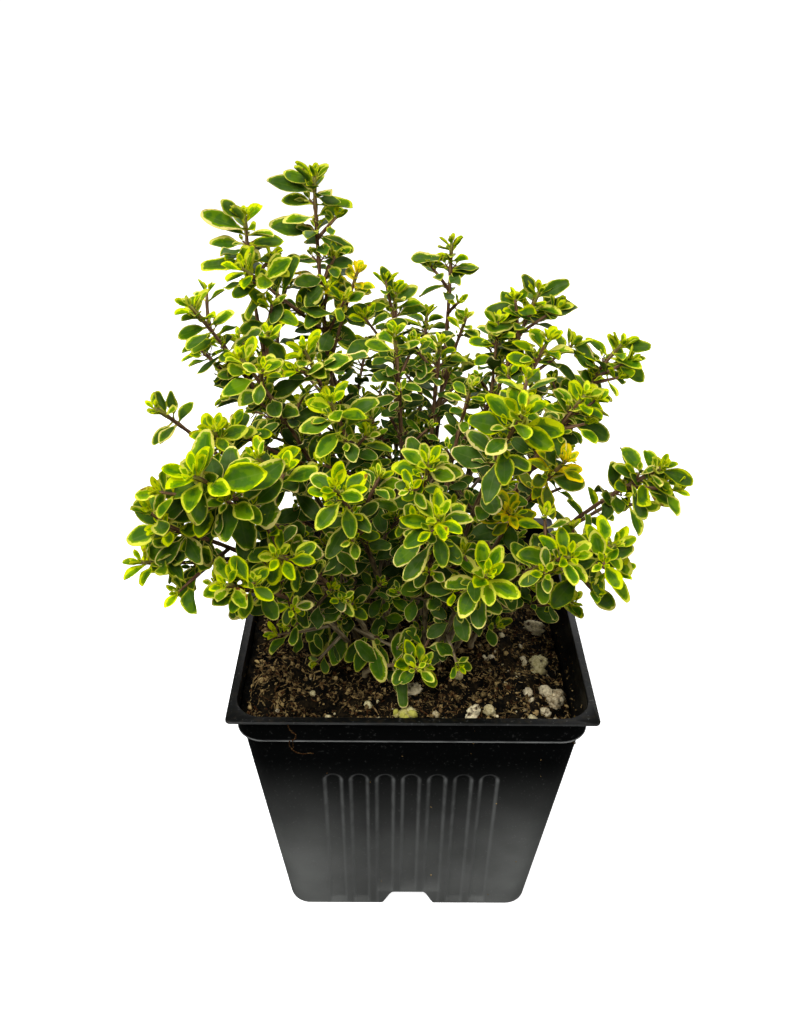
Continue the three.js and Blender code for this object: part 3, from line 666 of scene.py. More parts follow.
def plastic_material():
    """Black moulded plastic that grows paler towards the foot and the corners: a thin film of dried dust with
    specks, together with a painted reflection of the floor.
    The places on it are in metres. looks holds how strongly highlights are painted on the edges of the
    grooves, the collar's lip and the rim."""
    nodes = Nodes("black_plastic", 0.34, specular=0.16)
    height = nodes.tree.nodes.new("ShaderNodeSeparateXYZ")
    nodes.set(height, 0, nodes.place())
    cloudy = nodes.noise(55, detail=4)
    # Paler towards the foot, and more so away from the middle of each side: dried dust, together with a
    # painted reflection of the floor.
    dust_and_reflection = nodes.ramp(height.outputs[2], 0.068, 0.008, 0.0, 1.0)
    aside = nodes.math("MINIMUM", *(nodes.math("ABSOLUTE", height.outputs[k]) for k in (0, 1)))
    dust_and_reflection = nodes.times(dust_and_reflection, nodes.ramp(aside, 0.008, 0.034, 0.68, 1.1))
    dust_and_reflection = nodes.times(dust_and_reflection, nodes.ramp(cloudy, 0.2, 0.75, 0.65, 1.0))
    specks = nodes.ramp(nodes.noise(1500, detail=1), 0.66, 0.74)
    dust_and_reflection = nodes.math("ADD", dust_and_reflection, nodes.times(specks, 0.12), clamp=True)
    colour = nodes.mix(dust_and_reflection, linear(8, 9, 9), linear(147, 149, 146))
    # Painted highlights along the groove edges, the collar's lip and the rim, broken up by noise.
    edge_highlight, _, _ = nodes.attribute("looks")
    edge_highlight = nodes.times(edge_highlight, nodes.ramp(nodes.noise(160, detail=3), 0.3, 0.6, 0.55, 1.0))
    colour = nodes.mix(edge_highlight, colour, linear(144, 146, 144))
    soiled = nodes.ramp(height.outputs[2], 0.0824, 0.0829)
    soiled = nodes.times(soiled, nodes.ramp(nodes.noise(700, detail=4), 0.45, 0.75, 0.0, 0.25))
    nodes.set(nodes.shader, "Base Color", nodes.mix(soiled, colour, linear(58, 50, 34)))
    nodes.set(nodes.shader, "Roughness", nodes.ramp(cloudy, 0.3, 0.7, 0.3, 0.42))
    nodes.bump(nodes.noise(900, detail=3), 0.02, 0.5)
    return nodes.material


def soil_material(name, dark, light, scale):
    """Peat: every clod, crumb and fibre has a tone of its own, in looks."""
    nodes = Nodes(name, 0.9, specular=0.08)
    tone, warmth, _ = nodes.attribute("looks")
    grainy = nodes.noise(scale, detail=5, roughness=0.65)
    share = nodes.math("ADD", tone, nodes.ramp(grainy, 0.35, 0.7, -0.25, 0.35), clamp=True)
    colour = nodes.mix(share, dark, light)
    colour = nodes.mix(nodes.times(warmth, 0.55), colour, linear(92, 54, 26))
    nodes.set(nodes.shader, "Base Color", colour)
    nodes.bump(grainy, 0.25)
    return nodes.material


def grain_material():
    """Pale stone and perlite grains. looks holds tone and greenness."""
    nodes = Nodes("pale_grain", 0.75, specular=0.3)
    tone, green, _ = nodes.attribute("looks")
    pitted = nodes.noise(1700, detail=4, roughness=0.6)
    share = nodes.math("ADD", tone, nodes.ramp(pitted, 0.35, 0.65, -0.3, 0.2), clamp=True)
    colour = nodes.mix(share, linear(122, 98, 62), linear(244, 230, 190))
    colour = nodes.mix(green, colour, linear(190, 188, 70))
    stains = nodes.ramp(nodes.noise(520, detail=3), 0.55, 0.7)
    nodes.set(nodes.shader, "Base Color", nodes.mix(stains, colour, linear(74, 58, 36)))
    nodes.bump(pitted, 0.3)
    return nodes.material


def leaf_material(name, underside):
    """A variegated blade. spot is mm from the edge and share across. looks is tone, age and
    gold, where the tone is random and lowered deep inside the bush as painted shade. edge is the width of the
    pale margin in mm, its paleness and its rust."""
    nodes = Nodes(name, 0.55 if underside else 0.42, specular=0.055)
    margin, across, _ = nodes.attribute("spot")
    tone, age, gold = nodes.attribute("looks")
    width, pale, rust = nodes.attribute("edge")
    ragged = nodes.noise(430, detail=3, roughness=0.6)
    shift = nodes.times(nodes.math("SUBTRACT", ragged, 0.5), 3.4)
    inwards = nodes.math("ADD", nodes.math("DIVIDE", margin, width), shift)
    green = nodes.ramp(inwards, 0.72, 1.0)
    core = nodes.ramp(inwards, 1.25, 2.3)
    patches = nodes.ramp(nodes.noise(300, detail=3), 0.5, 0.6, 1.0, 0.35)
    core = nodes.times(core, nodes.math("MAXIMUM", patches, age))

    lime = nodes.mix(pale, linear(215, 222, 8), linear(250, 230, 158))
    lime = nodes.mix(gold, lime, linear(246, 222, 16))
    fresh = nodes.mix(age, linear(134, 170, 0), linear(92, 128, 4))
    fresh = nodes.mix(gold, fresh, linear(196, 204, 8))
    deep = nodes.mix(age, linear(70, 120, 0), linear(62, 94, 20))
    deep = nodes.mix(nodes.times(gold, 0.4), deep, linear(140, 150, 24))
    # Grey-green blotches on older leaves: greying of old leaves, together with a painted sheen.
    blotches_and_sheen = nodes.ramp(nodes.noise(420, detail=3), 0.35, 0.7, 0.05, 0.72)
    blotches_and_sheen = nodes.times(blotches_and_sheen, age)
    deep = nodes.mix(blotches_and_sheen, deep, linear(96, 118, 68))
    colour = nodes.mix(core, fresh, deep)
    rib = nodes.ramp(across, 0.1, 0.0, 0.0, 0.12)
    colour = nodes.mix(rib, colour, linear(150, 168, 70))
    colour = nodes.mix(green, lime, colour)
    rusty = nodes.times(rust, nodes.ramp(nodes.noise(600), 0.52, 0.66))
    rusty = nodes.times(rusty, nodes.ramp(inwards, 0.9, 0.2))
    colour = nodes.mix(rusty, colour, linear(128, 66, 34))
    if underside:
        colour = nodes.mix(nodes.ramp(age, 0, 1, 0.1, 0.55), colour, linear(124, 142, 92))
    # The tone sets the brightness: random, and lower deep inside the bush as painted shade.
    shade = nodes.node(
        "ShaderNodeHueSaturation", "Color",
        Color=colour, Value=nodes.ramp(tone, 0.0, 1.0, 0.9, 1.3),
    )
    nodes.set(nodes.shader, "Base Color", shade)
    nodes.bump(nodes.noise(2600, detail=2), 0.035, 0.6)

    glow = nodes.node("ShaderNodeBsdfTranslucent", "BSDF", Color=shade)
    blend = nodes.tree.nodes.new("ShaderNodeMixShader")
    nodes.set(blend, 0, 0.3)
    nodes.set(blend, 1, nodes.shader.outputs[0])
    nodes.set(blend, 2, glow)
    output = nodes.tree.nodes["Material Output"]
    nodes.set(output, "Surface", blend.outputs[0])
    return nodes.material


def bark_material():
    """Woody stems, purple brown towards their tips. spot is the share of the way up, and
    looks a place on the bark drawn out along the stem."""
    nodes = Nodes("bark", 0.62, specular=0.3)
    up, _, _ = nodes.attribute("spot")
    place = nodes.node("ShaderNodeAttribute", "Vector", {"attribute_name": "looks"})
    streaks = nodes.noise(1.6, vector=place, detail=4)
    old = nodes.mix(nodes.ramp(streaks, 0.3, 0.7), linear(108, 90, 60), linear(188, 172, 132))
    young = nodes.mix(nodes.ramp(streaks, 0.3, 0.7), linear(78, 44, 34), linear(148, 116, 80))
    tip = nodes.mix(nodes.ramp(streaks, 0.35, 0.65), linear(96, 70, 40), linear(140, 146, 52))
    colour = nodes.mix(nodes.ramp(up, 0.3, 0.72), old, young)
    colour = nodes.mix(nodes.ramp(up, 0.93, 1.0), colour, tip)
    nodes.set(nodes.shader, "Base Color", colour)
    nodes.bump(streaks, 0.12)
    return nodes.material


# ---- The pot ----
def outline(half, corner):
    """One ring of the pot: points in the plane, outward normals, and each point's place
    along its side, which is out of reach at the corners."""
    flat = half - corner
    zone = np.linspace(-FLUTE_ZONE, FLUTE_ZONE, 193) * min(1.0, flat / (FLUTE_ZONE + 1))
    ends = np.linspace(flat, zone[-1], 4, endpoint=False)
    along = np.concatenate([-ends, zone, ends[::-1]])
    angle = np.radians(np.arange(1, CORNER_STEPS) * 90 / CORNER_STEPS - 90)
    points = np.concatenate([
        np.stack([along, np.full(len(along), -half)], 1),
        np.stack([flat + corner * np.cos(angle), -flat + corner * np.sin(angle)], 1),
    ])
    normals = np.concatenate([
        np.tile((0.0, -1.0), (len(along), 1)),
        np.stack([np.cos(angle), np.sin(angle)], 1),
    ])
    place = np.concatenate([along, np.full(len(angle), 2 * half)])
    rings, facing = [points], [normals]
    for _ in range(3):
        rings.append(np.stack([-rings[-1][:, 1], rings[-1][:, 0]], 1))
        facing.append(np.stack([-facing[-1][:, 1], facing[-1][:, 0]], 1))
    return np.concatenate(rings), np.concatenate(facing), np.tile(place, 4)


def flute_depth(place, height):
    """How deep the grooves are at a place along a side and a height."""
    radius = FLUTE_WIDTH / 2
    above = max(height - (FLUTE_TOP - radius), 0.0)
    depth = np.zeros(len(place))
    for k in range(FLUTES):
        away = np.hypot(place - (k - (FLUTES - 1) / 2) * FLUTE_PITCH, above)
        edge = smooth_step(away, radius + FLUTE_EDGE / 2, radius - FLUTE_EDGE / 2)
        depth = np.maximum(depth, FLUTE_DEPTH * edge)
    over_notch = smooth_step(np.abs(place), NOTCH_FOOT / 2 + 2.5, NOTCH_FOOT / 2 + 0.5)
    depth *= 1 - over_notch * smooth_step(height, NOTCH_HEIGHT + 4, NOTCH_HEIGHT + 0.5)
    return depth * smooth_step(height, 0.4, 4.0)


def flute_edges(place, height):
    """How near a point is to the edge of a groove, from 0 to 1, as the strength of the painted highlight
    there. It fades towards the foot.
    """
    above = max(height - (FLUTE_TOP - FLUTE_WIDTH / 2), 0.0)
    nearest = np.full(len(place), np.inf)
    for k in range(FLUTES):
        away = np.hypot(place - (k - (FLUTES - 1) / 2) * FLUTE_PITCH, above)
        nearest = np.minimum(nearest, np.abs(away - FLUTE_WIDTH / 2))
    highlight_fade = between(0.34, 0.55, smooth_step(height, 15, 50)) + 0.3 * smooth_step(height, 57, 59)
    return smooth_step(nearest, 0.85 * FLUTE_EDGE, 0.1) * highlight_fade


def channel_height(points, skin=0.0):
    """Height of the drainage channels' roof over the foot, in all four sides."""
    height = np.zeros(len(points))
    for x, y in ((points[:, 0], points[:, 1]), (points[:, 1], points[:, 0])):
        flank = (np.abs(x) - NOTCH_TOP / 2 - skin) / (NOTCH_FOOT / 2 - NOTCH_TOP / 2)
        rise = smooth_step(flank, 1.0, 0.0)
        inside = smooth_step(np.abs(y), FOOT_WIDTH / 2 - NOTCH_REACH - skin - 0.4,
                             FOOT_WIDTH / 2 - NOTCH_REACH - skin + 0.4)
        height = np.maximum(height, (NOTCH_HEIGHT + skin) * rise * inside)
    return height


def pot_rings():
    """Rings from the middle of the underside, up the outside and down the inside. Each
    point is followed by how strongly a highlight is painted there."""
    rings = []

    def add(points, heights, edge_highlight=0.0):
        count = len(points)
        spread = [np.broadcast_to(value, count) for value in (heights, edge_highlight)]
        rings.append(np.column_stack([points, *spread]))

    foot = FOOT_WIDTH / 2
    shares = (0.02, 0.3, 0.55, 0.64, 0.665, 0.672, 0.679, 0.686, 0.7, 0.76, 0.84, 0.92, 0.97)
    flat, _, _ = outline(foot - FOOT_ROUNDING, FOOT_CORNER - FOOT_ROUNDING)
    for share in shares:
        add(flat * share, channel_height(flat * share))
    rows = np.concatenate([
        np.arange(0.0, 7.6, 0.45), np.arange(7.6, 56.0, 2.9),
        np.arange(56.0, 62.0, 0.26), np.arange(62.4, WALL_TOP - 1, 3.0), [WALL_TOP - 0.1],
    ])
    for number, height in enumerate(rows):
        share = np.clip((height - FOOT_ROUNDING) / (WALL_TOP - FOOT_ROUNDING), 0, 1)
        rounding = FOOT_ROUNDING * (1 - math.sqrt(1 - (1 - min(height / FOOT_ROUNDING, 1)) ** 2))
        half = between(foot, WALL_TOP_WIDTH / 2, share) - rounding
        points, normals, place = outline(half, between(FOOT_CORNER, COLLAR_CORNER, share))
        points = points - normals * flute_depth(place, height)[:, None]
        notch = channel_height(np.column_stack([place, np.full(len(place), -foot)]))
        notch = np.where(notch > 0, notch + 0.04 * number, 0)
        add(points, np.maximum(height, notch), flute_edges(place, height))
    collar, rim = COLLAR_WIDTH / 2, RIM_WIDTH / 2
    inner = COLLAR_CORNER - WALL
    # A row's fourth number, where given, is the strength of the painted highlight: on the collar's lip and
    # the rim's edges.
    profile = [
        (collar - 0.75 * LIP, COLLAR_CORNER, WALL_TOP + 0.05, 0.5),
        (collar - 0.25 * LIP, COLLAR_CORNER, WALL_TOP + 0.3 * LIP, 0.9),
        (collar + 0.05, COLLAR_CORNER, WALL_TOP + 0.5 * LIP_HEIGHT, 1.0),
        (collar, COLLAR_CORNER, WALL_TOP + LIP_HEIGHT, 0.8),
        (collar, COLLAR_CORNER, WALL_TOP + LIP_HEIGHT + 0.3),
        (collar, COLLAR_CORNER, POT_HEIGHT - FLANGE - 0.2),
        (collar + 0.2, COLLAR_CORNER, POT_HEIGHT - FLANGE),
        (rim - 0.15, RIM_CORNER, POT_HEIGHT - FLANGE, 0.3),
        (rim, RIM_CORNER, POT_HEIGHT - FLANGE + 0.15, 0.35),
        (rim, RIM_CORNER, POT_HEIGHT - 0.2, 0.1),
        (rim - 0.2, RIM_CORNER, POT_HEIGHT),
        *[
            (collar - WALL + MOUTH * (1 - math.sin(turn)), inner + MOUTH * (1 - math.sin(turn)),
             POT_HEIGHT - MOUTH * (1 - math.cos(turn)))
            for turn in np.linspace(0, math.pi / 2, 6)
        ],
        (collar - WALL, inner, WALL_TOP + 4 * LIP),
        (WALL_TOP_WIDTH / 2 - WALL, inner, WALL_TOP),
    ]
    for half, corner, *rest in profile:
        add(outline(half, corner)[0], *rest)
    for share in (0.85, 0.6, 0.3, 0.1):
        height = between(WALL, WALL_TOP, share)
        half = between(foot, WALL_TOP_WIDTH / 2, share) - WALL
        add(outline(half, between(FOOT_CORNER, COLLAR_CORNER, share) - WALL)[0], height)
    floor, _, _ = outline(foot - WALL, FOOT_CORNER - WALL)
    for share in (1.0, 0.85, 0.72, 0.66, 0.63, 0.5, 0.02):
        add(floor * share, np.maximum(WALL, channel_height(floor * share, WALL)))
    return np.array(rings)


def drill_drains(pot, material):
    """Cuts a round hole through the roof of each drainage channel."""
    away = FOOT_WIDTH / 2 - NOTCH_REACH + DRAIN_MARGIN + DRAIN_RADIUS
    cutters = Surface()
    for x, y in ((0, -away), (away, 0), (0, away), (-away, 0)):
        line = [(x, y, height) for height in (0.5 * NOTCH_HEIGHT, 1.5 * NOTCH_HEIGHT)]
        tube(cutters, line, [DRAIN_RADIUS] * 2, DRAIN_SIDES, 0)
    shape = cutters.mesh("drains")
    shape.materials.append(material)
    cutter = bpy.data.objects.new("drains", shape)
    bpy.context.scene.collection.objects.link(cutter)
    cut = pot.modifiers.new("drains", "BOOLEAN")
    cut.object, cut.operation, cut.solver = cutter, "DIFFERENCE", "MANIFOLD"
    drilled = pot.evaluated_get(bpy.context.evaluated_depsgraph_get())
    pot.data = bpy.data.meshes.new_from_object(drilled)
    pot.modifiers.remove(cut)
    bpy.data.objects.remove(cutter)


def build_pot(material):
    rings = pot_rings()
    walls, ends = ring_faces(*rings.shape[:2])
    surface = Surface("looks")
    surface.add(rings[..., :3], [(walls, 0), (ends, 0)], looks=as_looks(rings[..., 3].ravel()))
    pot = surface.build("nursery_pot", [material], ["pot"])
    drill_drains(pot, material)
    pot.data.set_sharp_from_angle(angle=math.radians(40))


# ---- The soil ----
def soil_height(x, y):
    """The height of the packed soil."""
    sunk = SOIL_DIP * smooth_step(x + 0.15 * y, 20, 40)
    clods = 0.55 * np.sin(0.42 * x + 1.3) * np.cos(0.36 * y - 0.4)
    crumbs = 0.35 * np.sin(1.05 * x + 0.6) * np.sin(0.9 * y + 1.1)
    return SOIL_LEVEL - sunk + clods + crumbs


def crumbly(x, y):
    """The height of the soil with its clods and pits."""
    clods = 0.5 * rough(x, y, 4.2, 1) + 0.35 * rough(x, y, 1.9, 2) + 0.22 * rough(x, y, 0.8, 3)
    return soil_height(x, y) + BANK * smooth_step(-x, 27, 40) + CLOD_HEIGHT * clods


def wall_inside(height):
    """Half the width of the pot's inside at a height."""
    share = np.clip(height / WALL_TOP, 0, 1)
    wall = between(FOOT_WIDTH / 2, WALL_TOP_WIDTH / 2, share) - WALL
    return np.where(height > WALL_TOP + 4 * LIP, COLLAR_WIDTH / 2 - WALL, wall)


def on_front_wall(x, height, off):
    """A point just off the outside of the front wall."""
    share = height / WALL_TOP
    half = COLLAR_WIDTH / 2 if height > WALL_TOP else between(FOOT_WIDTH / 2, WALL_TOP_WIDTH / 2, share)
    return (x, -half - off, height)


def build_soil(material):
    """The body of peat: a rough top over straight sides."""
    line = np.linspace(-1, 1, SOIL_STEPS + 1)
    x, y = np.meshgrid(line, line, indexing="ij")
    top = SOIL_HALF * np.stack([x, y], -1)
    square = np.maximum(np.abs(x), np.abs(y))
    corner = 1 - SOIL_CORNER * smooth_step(np.minimum(np.abs(x), np.abs(y)), 0.84, 1.0) * square
    top *= corner[..., None]
    height = crumbly(top[..., 0], top[..., 1])
    top *= ((wall_inside(height) - SOIL_GAP) / SOIL_HALF)[..., None]
    upper = np.concatenate([top, height[..., None]], -1).reshape(-1, 3)
    size = SOIL_STEPS + 1
    i, j = np.meshgrid(np.arange(SOIL_STEPS), np.arange(SOIL_STEPS), indexing="ij")
    faces = np.stack([i * size + j, (i + 1) * size + j, (i + 1) * size + j + 1, i * size + j + 1], -1)
    rim = np.concatenate([
        np.arange(SOIL_STEPS) * size, SOIL_STEPS * size + np.arange(SOIL_STEPS),
        (size - 1 - np.arange(SOIL_STEPS)) * size + size - 1, size - 1 - np.arange(SOIL_STEPS),
    ])
    edge = upper[rim]
    neck = edge * (SOIL_NECK, SOIL_NECK, 0)
    neck[:, 2] = np.minimum(edge[:, 2] - 1.5, WALL_TOP - 0.5)
    low = edge * (SOIL_FOOT, SOIL_FOOT, 0) + (0, 0, NOTCH_HEIGHT + WALL + 2 * CLEARANCE)
    after = np.roll(np.arange(len(rim)), -1)
    first, below = len(upper) + np.arange(len(rim)), len(upper) + len(rim) + np.arange(len(rim))
    walls = np.concatenate([
        np.stack([rim, first, first[after], rim[after]], -1),
        np.stack([first, below, below[after], first[after]], -1),
    ])
    tone = 0.18 + 0.35 * rough(upper[:, 0], upper[:, 1], 2.3, 4)
    surface = Surface("looks")
    surface.add(
        np.concatenate([upper, neck, low]),
        [(faces.reshape(-1, 4), 0), (walls, 0), ([below[::-1]], 0)],
        looks=as_looks(np.concatenate([tone, np.full(2 * len(rim), 0.2)])),
    )
    surface.build("peat", [material], ["soil"])


def lump_template(cuts):
    """Points and faces of a round lump, by cutting up a regular solid of twenty faces."""
    ratio = (1 + math.sqrt(5)) / 2
    points = [unit(np.array(p, float)) for p in (
        (-1, ratio, 0), (1, ratio, 0), (-1, -ratio, 0), (1, -ratio, 0),
        (0, -1, ratio), (0, 1, ratio), (0, -1, -ratio), (0, 1, -ratio),
        (ratio, 0, -1), (ratio, 0, 1), (-ratio, 0, -1), (-ratio, 0, 1),
    )]
    faces = [
        (0, 11, 5), (0, 5, 1), (0, 1, 7), (0, 7, 10), (0, 10, 11),
        (1, 5, 9), (5, 11, 4), (11, 10, 2), (10, 7, 6), (7, 1, 8),
        (3, 9, 4), (3, 4, 2), (3, 2, 6), (3, 6, 8), (3, 8, 9),
        (4, 9, 5), (2, 4, 11), (6, 2, 10), (8, 6, 7), (9, 8, 1),
    ]
    for _ in range(cuts):
        middles, finer = {}, []

        def middle(a, b):
            key = (min(a, b), max(a, b))
            if key not in middles:
                middles[key] = len(points)
                points.append(unit(points[a] + points[b]))
            return middles[key]

        for a, b, c in faces:
            ab, bc, ca = middle(a, b), middle(b, c), middle(c, a)
            finer += [(a, ab, ca), (b, bc, ab), (c, ca, bc), (ab, bc, ca)]
        faces = finer
    return np.array(points), np.array(faces)


def random_turns(random, count):
    """Rotation matrices that turn things every way."""
    q = random.normal(size=(count, 4))
    w, x, y, z = (q / np.linalg.norm(q, axis=1)[:, None]).T
    rows = [
        [1 - 2 * (y * y + z * z), 2 * (x * y - w * z), 2 * (x * z + w * y)],
        [2 * (x * y + w * z), 1 - 2 * (x * x + z * z), 2 * (y * z - w * x)],
        [2 * (x * z - w * y), 2 * (y * z + w * x), 1 - 2 * (x * x + y * y)],
    ]
    return np.array(rows).transpose(2, 0, 1)


def add_lumps(surface, random, centres, sizes, looks, cuts=0, jag=0.28, thin=0.65):
    """Uneven lumps, each with its own shape and turn. sizes are half sizes, one or three."""
    points, faces = lump_template(cuts)
    count = len(centres)
    jagged = 1 + jag * random.uniform(-1, 1, (count, len(points), 1))
    stretch = random.uniform(thin, 1.25, (count, 1, 3))
    shapes = points[None] * jagged * stretch * np.reshape(sizes, (count, 1, -1))
    shapes = np.einsum("nij,npj->npi", random_turns(random, count), shapes)
    shapes += np.asarray(centres)[:, None]
    all_faces = faces[None] + (np.arange(count) * len(points))[:, None, None]
    repeated = np.repeat(looks, len(points), axis=0)
    surface.add(shapes.reshape(-1, 3), [(all_faces.reshape(-1, 3), 0)], looks=repeated)


def soil_places(random, count, half=SOIL_HALF + 0.4):
    return random.uniform(-half, half, (count, 2)).T


def loose_crumbs(surface, random):
    """Crumbs of peat that lie on the soil."""
    x, y = soil_places(random, CRUMBS)
    size = between(*CRUMB_SIZES, random.random(CRUMBS) ** 2.6)
    centres = np.column_stack([x, y, crumbly(x, y) + 0.25 * size])
    limit = wall_inside(centres[:, 2:]) - 0.5
    centres[:, :2] = np.clip(centres[:, :2], -limit, limit)
    looks = as_looks(random.random(CRUMBS) ** 2.8, random.random(CRUMBS) ** 3)
    small = size < 0.4
    add_lumps(surface, random, centres[small], size[small], looks[small], jag=0.4, thin=0.3)
    add_lumps(surface, random, centres[~small], size[~small], looks[~small], cuts=1, jag=0.34, thin=0.35)


def stuck_crumbs(surface, random):
    """Crumbs that cling to the inside of the pot's four sides, right side first."""
    side = random.integers(0, 4, STUCK_CRUMBS)
    height = STUCK_TOP - STUCK_REACH * random.random(STUCK_CRUMBS) ** 0.6
    height = np.where(side == 0, height - STUCK_DROP, height)
    along = random.uniform(-34, 34, STUCK_CRUMBS)
    reach = wall_inside(height) - 0.05
    places = np.stack([
        np.column_stack([reach, along, height]), np.column_stack([along, reach, height]),
        np.column_stack([-reach, along, height]), np.column_stack([along, -reach, height]),
    ])[side, np.arange(STUCK_CRUMBS)]
    size = between(0.12, 0.4, random.random(STUCK_CRUMBS) ** 2)
    looks = as_looks(random.random(STUCK_CRUMBS) ** 2, random.random(STUCK_CRUMBS) ** 3)
    add_lumps(surface, random, places, size, looks, jag=0.4, thin=0.3)


def wall_crumbs(surface, random):
    """The few crumbs on the outside of the front wall."""
    places = np.array([on_front_wall(*seen_on_wall(pick), 0.0) for pick in WALL_CRUMBS])
    count = len(places)
    looks = as_looks(random.uniform(0.3, 0.9, count), random.random(count))
    add_lumps(surface, random, places, random.uniform(0.14, 0.3, count), looks, jag=0.4, thin=0.4)


def build_crumbs(material):
    random = np.random.default_rng(11)
    surface = Surface("looks")
    loose_crumbs(surface, random)
    stuck_crumbs(surface, random)
    wall_crumbs(surface, random)
    surface.build("peat_crumbs", [material])


def build_fibres(material):
    """Short fibres of peat that lie across the soil, and the root hairs over the front wall."""
    random = np.random.default_rng(12)
    surface = Surface("looks")
    x, y = soil_places(random, FIBRES)
    share = np.linspace(-0.5, 0.5, 4)
    for k in range(FIBRES):
        heading, length = random.uniform(0, 2 * math.pi), between(*FIBRE_LENGTHS, random.random() ** 2.4)
        angle = heading + random.uniform(-0.9, 0.9) * share
        px = np.clip(x[k] + length * share * np.cos(angle), -SOIL_HALF, SOIL_HALF)
        py = np.clip(y[k] + length * share * np.sin(angle), -SOIL_HALF, SOIL_HALF)
        tilt = random.uniform(-0.3, 0.45)
        pz = crumbly(px, py).mean() + 0.28 + tilt * length * share - 0.5 * share**2
        radius = between(0.07, 0.27, random.random() ** 2) * (1.25 - np.abs(share) * 1.9)
        tone = (random.random() ** 2.6, random.random() ** 2, 0)
        tube(surface, np.column_stack([px, py, pz]), radius, 4, 0, looks=tone)
    for line in ROOT_HAIRS:
        points = np.array([on_front_wall(*seen_on_front(pick), 0.12) for pick in line])
        places = rounded(points, HAIR_STEPS)
        places += random.normal(0, 0.07, (HAIR_STEPS, 3)) * (1, 0.3, 1)
        radius = np.linspace(*HAIR_RADII, HAIR_STEPS) * random.uniform(0.6, 1.3, HAIR_STEPS)
        tube(surface, places, radius, 6, 0, looks=lambda _, along: as_looks(0.14 - 0.06 * along, 0.8))
    surface.build("peat_fibres", [material])


def rounded(points, count):
    """A smooth line through points, sampled evenly by share."""
    points = np.concatenate([[2 * points[0] - points[1]], points, [2 * points[-1] - points[-2]]])
    at = np.linspace(0, len(points) - 3.000001, count)
    cell, t = np.floor(at).astype(int), (at % 1)[:, None]
    a, b, c, d = (points[cell + k] for k in range(4))
    return 0.5 * (2 * b + (c - a) * t + (2 * a - 5 * b + 4 * c - d) * t**2 + (3 * b - a - 3 * c + d) * t**3)


def build_grits(material):
    """Small pale grains, most of them in the sunk corner at the front right."""
    random = np.random.default_rng(13)
    x, y = soil_places(random, GRITS)
    near = random.random(GRITS) < 0.45
    x = np.where(near, between(18, 39.5, random.random(GRITS)), x)
    y = np.where(near, between(-39, -4, random.random(GRITS)), y)
    size = between(0.18, 0.85, random.random(GRITS) ** 2.2)
    centres = np.column_stack([x, y, crumbly(x, y) + 0.5 * size])
    looks = as_looks(random.uniform(0.25, 1, GRITS), 0.15 * random.random(GRITS))
    surface = Surface("looks")
    add_lumps(surface, random, centres, size, looks, cuts=1)
    picks = [seen(enlarged(pick), (0, 0, GRAIN_LEVEL), (0, 0, 1)) for pick, _ in SMALL_GRAINS]
    x, y, _ = np.array(picks).T
    size = np.array([half for _, half in SMALL_GRAINS])
    centres = np.column_stack([x, y, crumbly(x, y) + 0.45 * size])
    looks = as_looks(random.uniform(0.4, 0.9, len(x)), random.uniform(0, 0.3, len(x)))
    add_lumps(surface, random, centres, size, looks, cuts=2, jag=0.2)
    surface.build("pale_grits", [material])


def build_grain(number, name, at, size, turn, material):
    """One of the large grains: a rough lump, or a heap of smaller ones."""
    random = np.random.default_rng(20 + number)
    centre = np.array((*at, soil_height(*map(float, at)) + 0.55 * size[2]))
    green = GRAIN_GREENS.get(name, PLAIN_GREEN)
    surface = Surface("looks")
    if name in HEAPS:
        count, sizes, rise = HEAPS[name]
        heap = random.uniform(-0.62, 0.62, (count, 3)) * size + (0, 0, rise)
        heap = np.array([turned(offset, np.array((0.0, 0.0, 1.0)), turn) for offset in heap])
        looks = as_looks(random.uniform(0.3, 0.9, count), green * random.uniform(0.4, 1.2, count))
        add_lumps(surface, random, centre + heap, random.uniform(*sizes, count), looks, cuts=2, jag=0.16)
    else:
        points, faces = lump_template(3)
        x, y, z = points.T
        bumps = 0.3 * rough(x + 2 * z, y - z, 0.6, 30 + number)
        bumps += 0.16 * rough(x - z, y + 2 * z, 0.2, 50 + number)
        shape = points * (1 + bumps[:, None]) * size
        angle = math.radians(turn)
        cos, sin = math.cos(angle), math.sin(angle)
        spin = np.array([[cos, -sin, 0], [sin, cos, 0], [0, 0, 1]])
        look = (1.0 if name == "grain_shard" else random.uniform(0.4, 0.8), green, 0)
        surface.add(shape @ spin.T + centre, [(faces, 0)], looks=look)
    surface.build(name.replace("grain_", "pale_lump_"), [material], [name])


# ---- The thyme ----
def seeded(seed):
    """The same repeatable numbers between 0 and 1 as the part's source draws."""
    state = seed & 0xFFFFFFFF
    while True:
        state = (state + 0x6D2B79F5) & 0xFFFFFFFF
        mixed = ((state ^ (state >> 15)) * (state | 1)) & 0xFFFFFFFF
        mixed ^= (mixed + ((mixed ^ (mixed >> 7)) * (mixed | 61))) & 0xFFFFFFFF
        yield ((mixed ^ (mixed >> 14)) & 0xFFFFFFFF) / 4294967296


